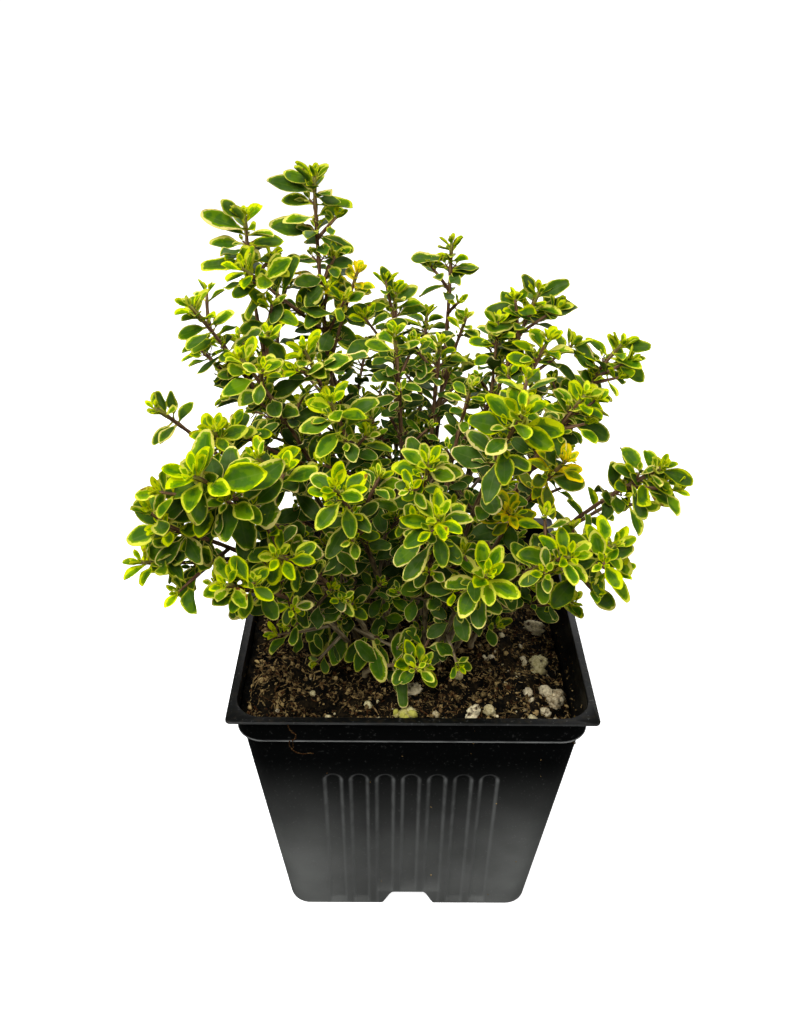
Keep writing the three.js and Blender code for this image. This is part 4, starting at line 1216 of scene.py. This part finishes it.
class Path:
    """The line of a stem or shoot: a smooth curve, and the straight stretches that the
    packed stem follows along it."""

    def __init__(self, start, knee, end, steps):
        self.ends = [np.asarray(p, float) for p in (start, knee, end)]
        self.corners = np.array([self.smooth(k / steps) for k in range(steps + 1)])
        lengths = np.linalg.norm(np.diff(self.corners, axis=0), axis=1)
        self.reach = np.concatenate([[0], np.cumsum(lengths)])
        self.length = self.reach[-1]

    def smooth(self, share):
        start, knee, end = self.ends
        return (1 - share) ** 2 * start + 2 * share * (1 - share) * knee + share**2 * end

    def stretch(self, at):
        """Which stretch a share of the length lies in, and how far along it."""
        gone = at * self.length
        cell = int(np.clip(np.searchsorted(self.reach, gone) - 1, 0, len(self.reach) - 2))
        return cell, (gone - self.reach[cell]) / (self.reach[cell + 1] - self.reach[cell])

    def straight(self, at):
        cell, share = self.stretch(at)
        return between(self.corners[cell], self.corners[cell + 1], share)

    def curved(self, at):
        cell, share = self.stretch(at)
        return self.smooth((cell + share) / (len(self.corners) - 1))

    def axis(self, at):
        near, far = max(at - 1e-4, 0), min(at + 1e-4, 1)
        return unit(self.straight(far) - self.straight(near))


def stem_path(root, tip, bend):
    out, up = bend
    x, y = root
    start = np.array((x, y, soil_height(float(x), float(y)) + ROOT_RISE))
    end = np.array(tip, float)
    return Path(start, between(start, end, np.array((out, out, up))), end, STEM_STEPS)


def shoot_path(parent, at, tip, start=None):
    start, end = parent.straight(at) if start is None else start, np.array(tip, float)
    reach = np.linalg.norm(end - start)
    knee = (start + end) / 2 + 0.12 * reach * parent.axis(at)
    knee[2] -= 0.1 * reach
    return Path(start, knee, end, TWIG_STEPS)


def leaf_frame(path, at, angle, lean, twist, rise=None):
    """Where a leaf starts, the way it runs and the way its upper side looks. A packed blade
    has no rise. A fine one stands on the smooth curve, which turns up towards its tip."""
    axis = path.axis(at)
    if rise is not None:
        axis = unit(axis + np.array((0.0, 0.0, rise)))
    right = unit(np.array((1.0, 0.0, 0.0)) - axis * axis[0])
    out = turned(right, axis, angle)
    tilt = math.radians(lean)
    along = axis * math.cos(tilt) + out * math.sin(tilt)
    face = turned(axis * math.sin(tilt) - out * math.cos(tilt), along, twist)
    root = (path.straight(at) if rise is None else path.curved(at)) + BLADE_SEAT * out
    return root, along, face if rise is None else to_light(root, along, face, FACING)


def to_light(root, along, face, strength):
    """The way a leaf's upper side looks, turned about the leaf's length towards the light."""
    light = unit(between(np.array(LIGHT), np.array(BACK_LIGHT), smooth_step(root[1], *BACK)))
    return unit(face + strength * (light - along * (light @ along)))


def tip_rise(path, at):
    """How much a leaf's stem turns up there."""
    return TIP_RISE * max(1 - (1 - at) * path.length / RISE_REACH, 0)


def blade_tips(root, along, face, length, arch):
    """The two upper corners of the tip of a packed blade."""
    side = np.cross(face, along)
    tip = root + along * length + face * (BLADE_THICKNESS / 2 - arch * length)
    return [tip + s * 0.5 * BLADE_BLUNT * BLADE_WIDTH * length * side for s in (-1, 1)]


def packed_corners(name):
    """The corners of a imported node, for looking up the nearest."""
    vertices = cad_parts[name].data.vertices
    tree = KDTree(len(vertices))
    for vertex in vertices:
        tree.insert(vertex.co, vertex.index)
    tree.balance()
    return tree


def packed_turn(tree, tips_for):
    """Which of LEAF_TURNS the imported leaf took, or None where it was left out."""
    for extra in LEAF_TURNS:
        if all(tree.find(Vector(tip * MM))[2] < 0.15 * MM for tip in tips_for(extra)):
            return extra
    return None


def leaf(random, root, along, face, length, arch, age, gold=0.0, inner=0.0, slim=0.0):
    """One leaf as numbers, with random differences in shape and looks."""
    return {
        "root": root, "along": along, "face": face, "length": length,
        "arch": arch + random.normal(0, 0.02),
        "width": (random.uniform(0.39, 0.49) + 0.04 * age) * (1 - 0.28 * slim),
        "belly": random.uniform(0.95, 1.2),
        "slim": slim,
        "uneven": float(np.clip(random.normal(0, 0.35), -0.6, 0.6)),
        "cup": between(0.42, -0.1, age) + random.normal(0, 0.12),
        "fold": between(0.2, 0.05, age) + random.normal(0, 0.05),
        "wave": random.uniform(0, 0.05) * (0.4 + age),
        "phase": random.uniform(0, 1),
        "roll": random.normal(0, 12),
        "bend": random.normal(0, 0.035),
        # The tone is random per leaf, and lower deep inside the bush as painted shade.
        "tone": random.uniform(0, 1) * (1 - 0.15 * inner),
        "age": float(np.clip(age + random.normal(0, 0.14), 0, 1)),
        "gold": float(np.clip(gold * random.uniform(0.6, 1.1), 0, 1)),
        "margin": (
            random.uniform(0.32, 0.62) * between(1.3, 0.36, age) * (1 - 0.5 * inner) * math.sqrt(length / 6.5)
        ),
        "pale": float(np.clip(0.75 * age + 0.35 * inner + random.normal(-0.15, 0.22), 0, 1)),
        "rust": max(float(random.random() < 0.16), 0.35 * gold) * random.uniform(0.4, 1),
    }


def pair_place(path, back):
    """The share of a stem's length at which a pair lies that far back from the tip."""
    return max(1 - back / path.length, PAIR_FLOOR)


def within(at, stretch):
    return stretch[0] < at < stretch[1]


def packed_leaves(path, spec, numbers, tree, random, gold):
    """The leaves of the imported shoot, in crossed pairs, each where its blade is."""
    longest, turn, pairs = spec
    leaves = []
    for pair in range(pairs):
        back, size, spread, arch = PAIRS[pair]
        at = pair_place(path, back)
        skew = 20 * (next(numbers) - 0.5)
        for half in (0, 180):
            length = longest * size * (0.88 + 0.24 * next(numbers))
            lean = spread + 16 * (next(numbers) - 0.5)
            twist = LEAF_TWIST * (next(numbers) - 0.5)
            angle = turn + 90 * pair + half + skew

            def tips(extra):
                return blade_tips(*leaf_frame(path, at, angle + extra, lean, twist), length, arch)

            extra = packed_turn(tree, tips)
            if extra is None:
                continue
            open_lean = lean + SPREAD[pair]
            place = leaf_frame(path, at, angle + extra, open_lean, 0.6 * twist, tip_rise(path, at))
            age = 0.12 + 0.2 * pair
            leaves.append(leaf(random, *place, length, arch, age, gold, inner_share(place[0])))
    return leaves


def inner_share(point):
    """From 0 at the outside of the bush to 1 deep inside it."""
    reach = np.linalg.norm((point - BUSH_MIDDLE) / BUSH_REACH)
    return float(np.clip((0.85 - reach) / 0.5, 0, 1))


def extra_pair(path, random, at, turn, size, lean, arch, age, gold=0.0, slim=0.0):
    """A pair of leaves that only the visual model has."""
    leaves = []
    skew = random.normal(0, 9)
    for half in (0, 180):
        angle = turn + half + skew + random.normal(0, 5)
        twist = random.normal(0, 16)
        place = leaf_frame(path, at, angle, lean + random.normal(0, 8), twist, tip_rise(path, at))
        length = size * random.uniform(0.86, 1.14)
        leaves.append(leaf(random, *place, length, arch, age, gold, inner_share(place[0]), slim))
    return leaves


def bud(path, random, turn, longest, gold):
    """The closed leaves at the end of a shoot."""
    leaves = []
    for number, (back, size, lean, arch) in enumerate(BUD_PAIRS):
        at = min(1 - back / path.length, 1.0)
        level = turn - 90 * (number + 1)
        leaves += extra_pair(path, random, at, level, longest * size, lean, arch, 0.0, gold)
    return leaves


def tuft(surface, path, random, at, turn, size, age):
    """Small leaves in the joint between a stem and each leaf of a pair, on a short stalk."""
    leaves = []
    axis = path.axis(at)
    right = unit(np.array((1.0, 0.0, 0.0)) - axis * axis[0])
    for half in (0, 180):
        if random.random() < 0.25:
            continue
        out = turned(right, axis, turn + half + random.normal(0, 8))
        start = path.curved(at) + 0.25 * out
        reach = size * random.uniform(0.3, 0.6)
        end = start + reach * unit(0.75 * out + 0.8 * axis)
        small = Path(start, (start + end) / 2 + 0.1 * reach * out, end, TWIG_STEPS)
        leaves += extra_pair(small, random, 1.0, turn + 90, size * 0.7, 30, 0.0, 0.1 + 0.5 * age)
        leaves += extra_pair(small, random, 0.75, turn, size, 62, 0.04, 0.2 + 0.6 * age)
        tube(surface, [small.curved(k / 3) for k in range(4)], np.full(4, STALK_RADIUS), 4, 0,
             spot=(0.9, 0, 0))
    return leaves


def leaf_template(rows, columns):
    """Share along, share across and underside of one leaf's points, and its faces."""
    high, wide = len(rows), len(columns)
    spots = [(u, v, 0.0) for u in rows for v in columns]
    spots += [(u, v, 1.0) for u in rows for v in columns[1:-1]]

    def upper(i, j):
        return i * wide + j

    def lower(i, j):
        return upper(i, j) if j in (0, wide - 1) else high * wide + i * (wide - 2) + j - 1

    cells = [(i, j) for i in range(high - 1) for j in range(wide - 1)]
    tops = [(upper(i, j), upper(i + 1, j), upper(i + 1, j + 1), upper(i, j + 1)) for i, j in cells]
    unders = [(lower(i, j), lower(i, j + 1), lower(i + 1, j + 1), lower(i + 1, j)) for i, j in cells]

    def end(i):
        return [upper(i, j) for j in range(wide)] + [lower(i, j) for j in range(wide - 2, 0, -1)]

    return np.array(spots), np.array(tops), np.array(unders), np.array([end(0), end(high - 1)[::-1]])


LARGE = leaf_template(LEAF_ROWS, LEAF_COLUMNS)
SMALL = leaf_template(SMALL_ROWS, SMALL_COLUMNS)


def add_leaves(surface, leaves, template):
    """Thin skins for many leaves at once. Slot 1 is the upper side and slot 2 the lower."""
    if not leaves:
        return
    spots, tops, unders, ends = template
    along, across, under = spots.T
    number = {key: np.array([one[key] for one in leaves], float) for key in leaves[0]}
    col = {key: value[:, None] for key, value in number.items() if value.ndim == 1}
    length = col["length"]
    petiole = between(*PETIOLES, col["slim"])
    share = np.clip((along - petiole) / (1 - petiole), 0, 1)
    swell = np.clip(np.sin(np.pi * share ** col["belly"]), 0, 1) ** between(1.0, 0.6, share)
    half = length * (PETIOLE_WIDTH + (col["width"] / 2 - PETIOLE_WIDTH * 0.5) * swell)
    side = across * half
    side_bend = col["bend"] * length * along**2
    lift = -col["arch"] * length * along**2
    lift = lift + col["cup"] * half * across**2 + col["fold"] * half * np.abs(across)
    lift = lift + col["wave"] * length * np.sin(2 * np.pi * (1.6 * along + col["phase"])) * across
    lift = lift - under * LEAF_THICKNESS * np.minimum(length / 6, 1) * (1 - across**2)
    roll = np.radians(col["roll"]) * along
    x = side * np.cos(roll) - lift * np.sin(roll) + side_bend
    z = side * np.sin(roll) + lift * np.cos(roll)
    beside = np.cross(number["face"], number["along"])
    points = (
        number["root"][:, None]
        + number["along"][:, None] * (along * length)[..., None]
        + beside[:, None] * x[..., None]
        + number["face"][:, None] * z[..., None]
    )
    uneven = 1 + col["uneven"] * np.sign(across)
    edge_mm = np.minimum((1 - np.abs(across)) * half * uneven, 0.75 * (1 - along) * length)
    full = np.ones_like(edge_mm)
    spot = np.stack([edge_mm, np.abs(across) * full, along * full], -1)
    looks = np.stack([col["tone"] * full, col["age"] * full, col["gold"] * full], -1)
    edge = np.stack([col["margin"] * full, col["pale"] * full, col["rust"] * full], -1)
    shift = (np.arange(len(leaves)) * len(spots))[:, None, None]
    groups = [
        ((faces[None] + shift).reshape(-1, faces.shape[1]), slot)
        for faces, slot in ((tops, 1), (unders, 2), (ends, 1))
    ]
    surface.add(
        points.reshape(-1, 3), groups,
        spot=spot.reshape(-1, 3), looks=looks.reshape(-1, 3), edge=edge.reshape(-1, 3),
    )


def add_bark(surface, path, radii, joints, random, below=0.0, up=(0.0, 1.0)):
    """The wood of a stem or shoot, with a knot at each pair of leaves."""
    count = max(int(path.length / BARK_SPACING), 6)
    shares = np.linspace(0, 1, count + 1)
    points = [path.curved(share) for share in shares]
    width = between(*radii, shares)
    for joint in joints:
        width = width + KNOT_SWELL * np.exp(-(((shares - joint) * path.length / 0.9) ** 2))
    if below:
        root = points[0] - (0, 0, below)
        points, width = [root, *points], np.concatenate([[width[0] * 1.1], width])
    width = width * (1 + 0.07 * random.normal(size=len(width)))
    shift = random.uniform(0, 50)

    def place(around, along):
        return np.column_stack([np.cos(around), np.sin(around), shift + along * path.length * 0.22])

    def spot(around, along):
        return as_looks(between(*up, along))

    tube(surface, points, width, BARK_SIDES, 0, looks=place, spot=spot)


def twig_tip(path, random, at, azimuth):
    """Where a small twig ends: outwards from its stem, and up."""
    axis = path.axis(at)
    flat = np.array((math.cos(azimuth), math.sin(azimuth), 0.0))
    out = unit(flat - axis * (axis @ flat))
    heading = unit(0.9 * out + 0.5 * axis + np.array((0, 0, 0.45)))
    return path.curved(at) + random.uniform(*TWIG_REACH) * (1.1 - 0.35 * at) * heading


def in_clearing(point):
    """True in the space that is kept free around the trailing twig."""
    return all(low < value < high for value, (low, high) in zip(point, CLEARING))


def clear_of_pot(point):
    """True where a twig may end: above the soil, and not in the pot's wall."""
    inside = max(abs(point[0]), abs(point[1])) < COLLAR_WIDTH / 2 - 5
    return point[2] > (SOIL_LEVEL + 6 if inside else POT_HEIGHT + 6)


def pairs_between(path, random, spec, gold, bare):
    """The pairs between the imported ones, and on some shoots a few long old leaves."""
    longest, turn, pairs = spec
    leaves = []
    for number, (back, size, lean, arch) in enumerate(MORE_PAIRS[:pairs]):
        at = pair_place(path, back)
        if within(at, bare):
            continue
        level = turn + 45 + 90 * number
        leaves += extra_pair(path, random, at, level, longest * size, lean, arch, 0.1 + 0.2 * number, gold)
    for chance, (back, size, lean, arch) in zip(LONG_CHANCES, LONG_PAIRS):
        at = 1 - back / path.length
        if at > 0.3 and random.random() < chance and not within(at, bare):
            level = turn + random.uniform(0, 90)
            leaves += extra_pair(path, random, at, level, longest * size, lean, arch, 0.9, gold, 1.0)
    return leaves


def lower_pairs(path, surface, random, spec, joints, bare):
    """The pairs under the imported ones, with tufts in their joints. Adds to joints."""
    longest, turn, pairs = spec
    leaves = []
    back = PAIRS[pairs - 1][0]
    gaps = [PAIRS[k][0] - PAIRS[k - 1][0] for k in range(pairs, len(PAIRS))] + list(LOWER_GAPS)
    for number, gap in enumerate(gaps):
        back += gap
        at = 1 - back / path.length
        if at < 0.12 or path.curved(at)[2] < LOWEST_PAIR:
            break
        if in_clearing(path.curved(at)) or within(at, bare):
            continue
        size = longest * LOWER_SIZE * 0.96**number
        level = turn + 90 * (pairs + number)
        leaves += extra_pair(path, random, at, level, size, random.uniform(52, 88), 0.1, 0.95)
        leaves += tuft(surface, path, random, at, level, longest * random.uniform(*TUFT_SIZES), 0.8)
        joints.append(at)
    return leaves


def dress(path, surface, random, spec, packed, gold, joints, bare):
    """Adds the bud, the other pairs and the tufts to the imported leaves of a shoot."""
    longest, turn, pairs = spec
    leaves = list(packed) + bud(path, random, turn, longest, gold)
    longest = min(longest, LONGEST_EXTRA)
    leaves += pairs_between(path, random, (longest, turn, pairs), gold, bare)
    leaves += lower_pairs(path, surface, random, (longest, turn, pairs), joints, bare)
    for pair in range(TUFT_FROM, pairs):
        at = pair_place(path, PAIRS[pair][0])
        if not within(at, bare):
            size = longest * random.uniform(*TUFT_SIZES)
            leaves += tuft(surface, path, random, at, turn + 90 * pair, size, 0.4)
    return leaves


def random_twigs(stem, random, longest):
    """Places, tips, longest leaves and turns of the small twigs all along a stem."""
    twigs = []
    azimuth = random.uniform(0, 2 * math.pi)
    for place in TWIG_PLACES:
        azimuth += math.radians(GOLDEN_ANGLE)
        at = place + random.normal(0, 0.03)
        end = twig_tip(stem, random, at, azimuth)
        chance = between(*TWIG_CHANCES, min(at / 0.5, 1))
        if random.random() < chance and clear_of_pot(end) and not in_clearing(end):
            twigs.append((at, end, longest * random.uniform(*TWIG_SIZES), random.uniform(0, 90)))
    return twigs


def add_twig(surface, random, stem, at, end, longest, turn):
    """The wood of a small twig. Returns its leaves."""
    twig = shoot_path(stem, at, end, stem.curved(at))
    leaves = bud(twig, random, turn, longest, 0)
    for pair, (back, size, lean, arch) in enumerate(PAIRS):
        where = 1 - back / twig.length
        if where > 0.15:
            age = 0.2 + 0.2 * pair + 0.3 * (1 - at)
            level, open_lean = turn + 90 * pair, lean + SPREAD[pair]
            leaves += extra_pair(twig, random, where, level, longest * size, open_lean, arch, age)
    add_bark(surface, twig, TWIG_RADII, [], random, up=(at, 0.4 + 0.6 * at))
    return leaves


def placed_leaf(random, path, at, tip, slim):
    """A leaf from a place on a stem to its tip, with its upper side to the light."""
    root = path.curved(at)
    reach = np.array(tip) - root
    length = min(np.linalg.norm(reach), LONGEST_LEAF)
    along = unit(reach)
    face = to_light(root, along, 0.3 * path.axis(at), 1.0)
    return leaf(random, root, along, face, length, 0.05, 0.75, slim=slim)


def trailing_twig(surface, random, parent):
    """The twig over the front of the soil, with its hanging leaves."""
    _, at, tip, spots = TRAILING
    twig = shoot_path(parent, at, tip, parent.curved(at))
    add_bark(surface, twig, TRAILING_RADII, [spot[0] for spot in spots], random, up=(0.0, 0.25))
    leaves = [placed_leaf(random, twig, *spot) for spot in spots]
    leaves += bud(twig, random, 0, 6.0, 0)
    for level in TRAILING_TUFTS:
        leaves += tuft(surface, twig, random, level, 60, 3.4, 0.3)
    return leaves


def twig_place(tip):
    """Where a twig of PLACED_TWIGS ends."""
    return tip if len(tip) == 3 else seen(tip[0], (0, tip[1], 0), (0, 1, 0))


def build_stem(stem, seed, materials):
    """One leafy stem with its shoots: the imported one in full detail. Returns the next seed."""
    name, root, tip, bend, longest, turn, pairs, shoots = stem
    bare = BARE.get(name, NOWHERE)
    random = np.random.default_rng(1000 + seed)
    tree = packed_corners("stem_" + name)
    main = stem_path(root, tip, bend)
    surface = Surface("spot", "looks", "edge")
    leaves = []
    specs = [(main, (longest, turn, pairs))]
    specs += [(shoot_path(main, at, end), rest) for at, end, *rest in shoots]
    for number, (path, spec) in enumerate(specs):
        gold = float((name, number) in GOLD_SHOOTS)
        packed = packed_leaves(path, spec, seeded(seed + number), tree, random, gold)
        joints = [pair_place(path, back) for back, *_ in PAIRS[:spec[2]]]
        free = NOWHERE if number else bare
        leaves += dress(path, surface, random, spec, packed, gold, joints, free)
        if number:
            add_bark(surface, path, TWIG_RADII, joints, random, up=(shoots[number - 1][0], 1))
        else:
            add_bark(surface, path, BARK_RADII, joints, random, below=ROOT_RISE + BARK_START)
    twigs = [twig for twig in random_twigs(main, random, longest) if not within(twig[0], bare)]
    placed = [(at, twig_place(tip), *rest) for at, tip, *rest in PLACED_TWIGS.get(name, [])]
    for at, end, *rest in [*placed, *twigs]:
        leaves += add_twig(surface, random, main, at, end, *rest)
    leaves += [placed_leaf(random, main, *spot) for spot in PLACED_LEAVES.get(name, [])]
    if name == TRAILING[0]:
        leaves += trailing_twig(surface, random, main)
    add_leaves(surface, [one for one in leaves if one["length"] >= SMALL_LEAF], LARGE)
    add_leaves(surface, [one for one in leaves if one["length"] < SMALL_LEAF], SMALL)
    surface.build("leafy_" + name, materials, ["stem_" + name])
    return seed + len(specs)


# ---- The studio ----
def floor_dish():
    """Corners, edges and faces of the floor: flat under the pot, and far away it turns up
    into a wall all around."""
    turns = np.radians(np.linspace(0, 90, 9))
    outline = [(0.01, 0.0), *zip(FLOOR_FLAT + FLOOR_BEND * np.sin(turns), FLOOR_BEND * (1 - np.cos(turns)))]
    outline.append((FLOOR_FLAT + FLOOR_BEND, FLOOR_WALL))
    around = np.linspace(0, 2 * math.pi, FLOOR_SIDES + 1)[:-1]
    corners = [Vector((r * math.cos(a), r * math.sin(a), z)) * MM for r, z in outline for a in around]
    walls, ends = ring_faces(len(outline), FLOOR_SIDES)
    return corners, [], [ends[0].tolist(), *walls.tolist()]


def build_world(scene):
    """A dim white light from all around, brighter from above."""
    world = bpy.data.worlds.new("studio")
    world.use_nodes = True
    scene.world = world
    tree = world.node_tree
    background = tree.nodes["Background"]
    place = tree.nodes.new("ShaderNodeTexCoord")
    parts = tree.nodes.new("ShaderNodeSeparateXYZ")
    grade = tree.nodes.new("ShaderNodeMapRange")
    limits = {"From Min": -0.05, "From Max": 0.35, "To Min": 0.02, "To Max": WORLD_STRENGTH}
    for key, value in limits.items():
        grade.inputs[key].default_value = value
    tree.links.new(place.outputs["Generated"], parts.inputs[0])
    tree.links.new(parts.outputs[2], grade.inputs["Value"])
    tree.links.new(grade.outputs[0], background.inputs["Strength"])
    background.inputs["Color"].default_value = (1.0, 1.0, 1.0, 1.0)
    scene.view_settings.view_transform = "Standard"
    scene.view_settings.look = "None"


def build_floor(scene):
    """A white floor that glows, and neither lights nor shades the part."""
    nodes = Nodes("floor", 0.9, specular=0.0)
    nodes.set(nodes.shader, "Base Color", (0.86, 0.86, 0.86, 1.0))
    nodes.set(nodes.shader, "Emission Color", (1.0, 1.0, 1.0, 1.0))
    nodes.set(nodes.shader, "Emission Strength", FLOOR_GLOW)
    mesh = bpy.data.meshes.new("floor")
    mesh.from_pydata(*floor_dish())
    mesh.materials.append(nodes.material)
    floor = bpy.data.objects.new("floor", mesh)
    scene.collection.objects.link(floor)
    floor.visible_glossy = False
    floor.visible_diffuse = False
    floor.visible_shadow = False


def build_lamps(scene):
    """Round lamps that face the middle of the part: name, place, size and power."""
    for name, place, size, power in LAMPS:
        lamp = bpy.data.lights.new(name, "AREA")
        lamp.shape, lamp.size, lamp.energy = "DISK", size * MM, power
        holder = bpy.data.objects.new(name, lamp)
        holder.location = Vector(place) * MM
        aim = Vector(CAMERA_TARGET) * MM - holder.location
        holder.rotation_euler = aim.to_track_quat("-Z", "Y").to_euler()
        scene.collection.objects.link(holder)


def build_camera():
    across, above, back = camera_axes()
    data = bpy.data.cameras.new("camera")
    data.sensor_width = SENSOR
    data.lens = FOCAL_PIXELS * SENSOR / PHOTO_HEIGHT
    data.clip_start = 0.01
    camera = bpy.data.objects.new("camera", data)
    place = Vector(CAMERA_TARGET) + back * CAMERA_DISTANCE
    turn = Matrix((across, above, back)).transposed().to_4x4()
    camera.matrix_world = Matrix.Translation(place * MM) @ turn
    bpy.context.scene.collection.objects.link(camera)
    bpy.context.scene.camera = camera


build_camera()
build_world(bpy.context.scene)
build_floor(bpy.context.scene)
build_lamps(bpy.context.scene)
build_pot(plastic_material())
build_soil(soil_material("peat", linear(2, 2, 1), linear(48, 38, 22), 1300))
loose = soil_material("peat_loose", linear(4, 3, 2), linear(190, 162, 106), 1600)
build_crumbs(loose)
build_fibres(loose)
pale = grain_material()
build_grits(pale)
for number, (name, at, size, turn) in enumerate(GRAINS):
    build_grain(number, name, at, size, turn, pale)
thyme = [bark_material(), leaf_material("leaf_upper", False), leaf_material("leaf_lower", True)]
seed = 1
for stem in STEMS:
    seed = build_stem(stem, seed, thyme)
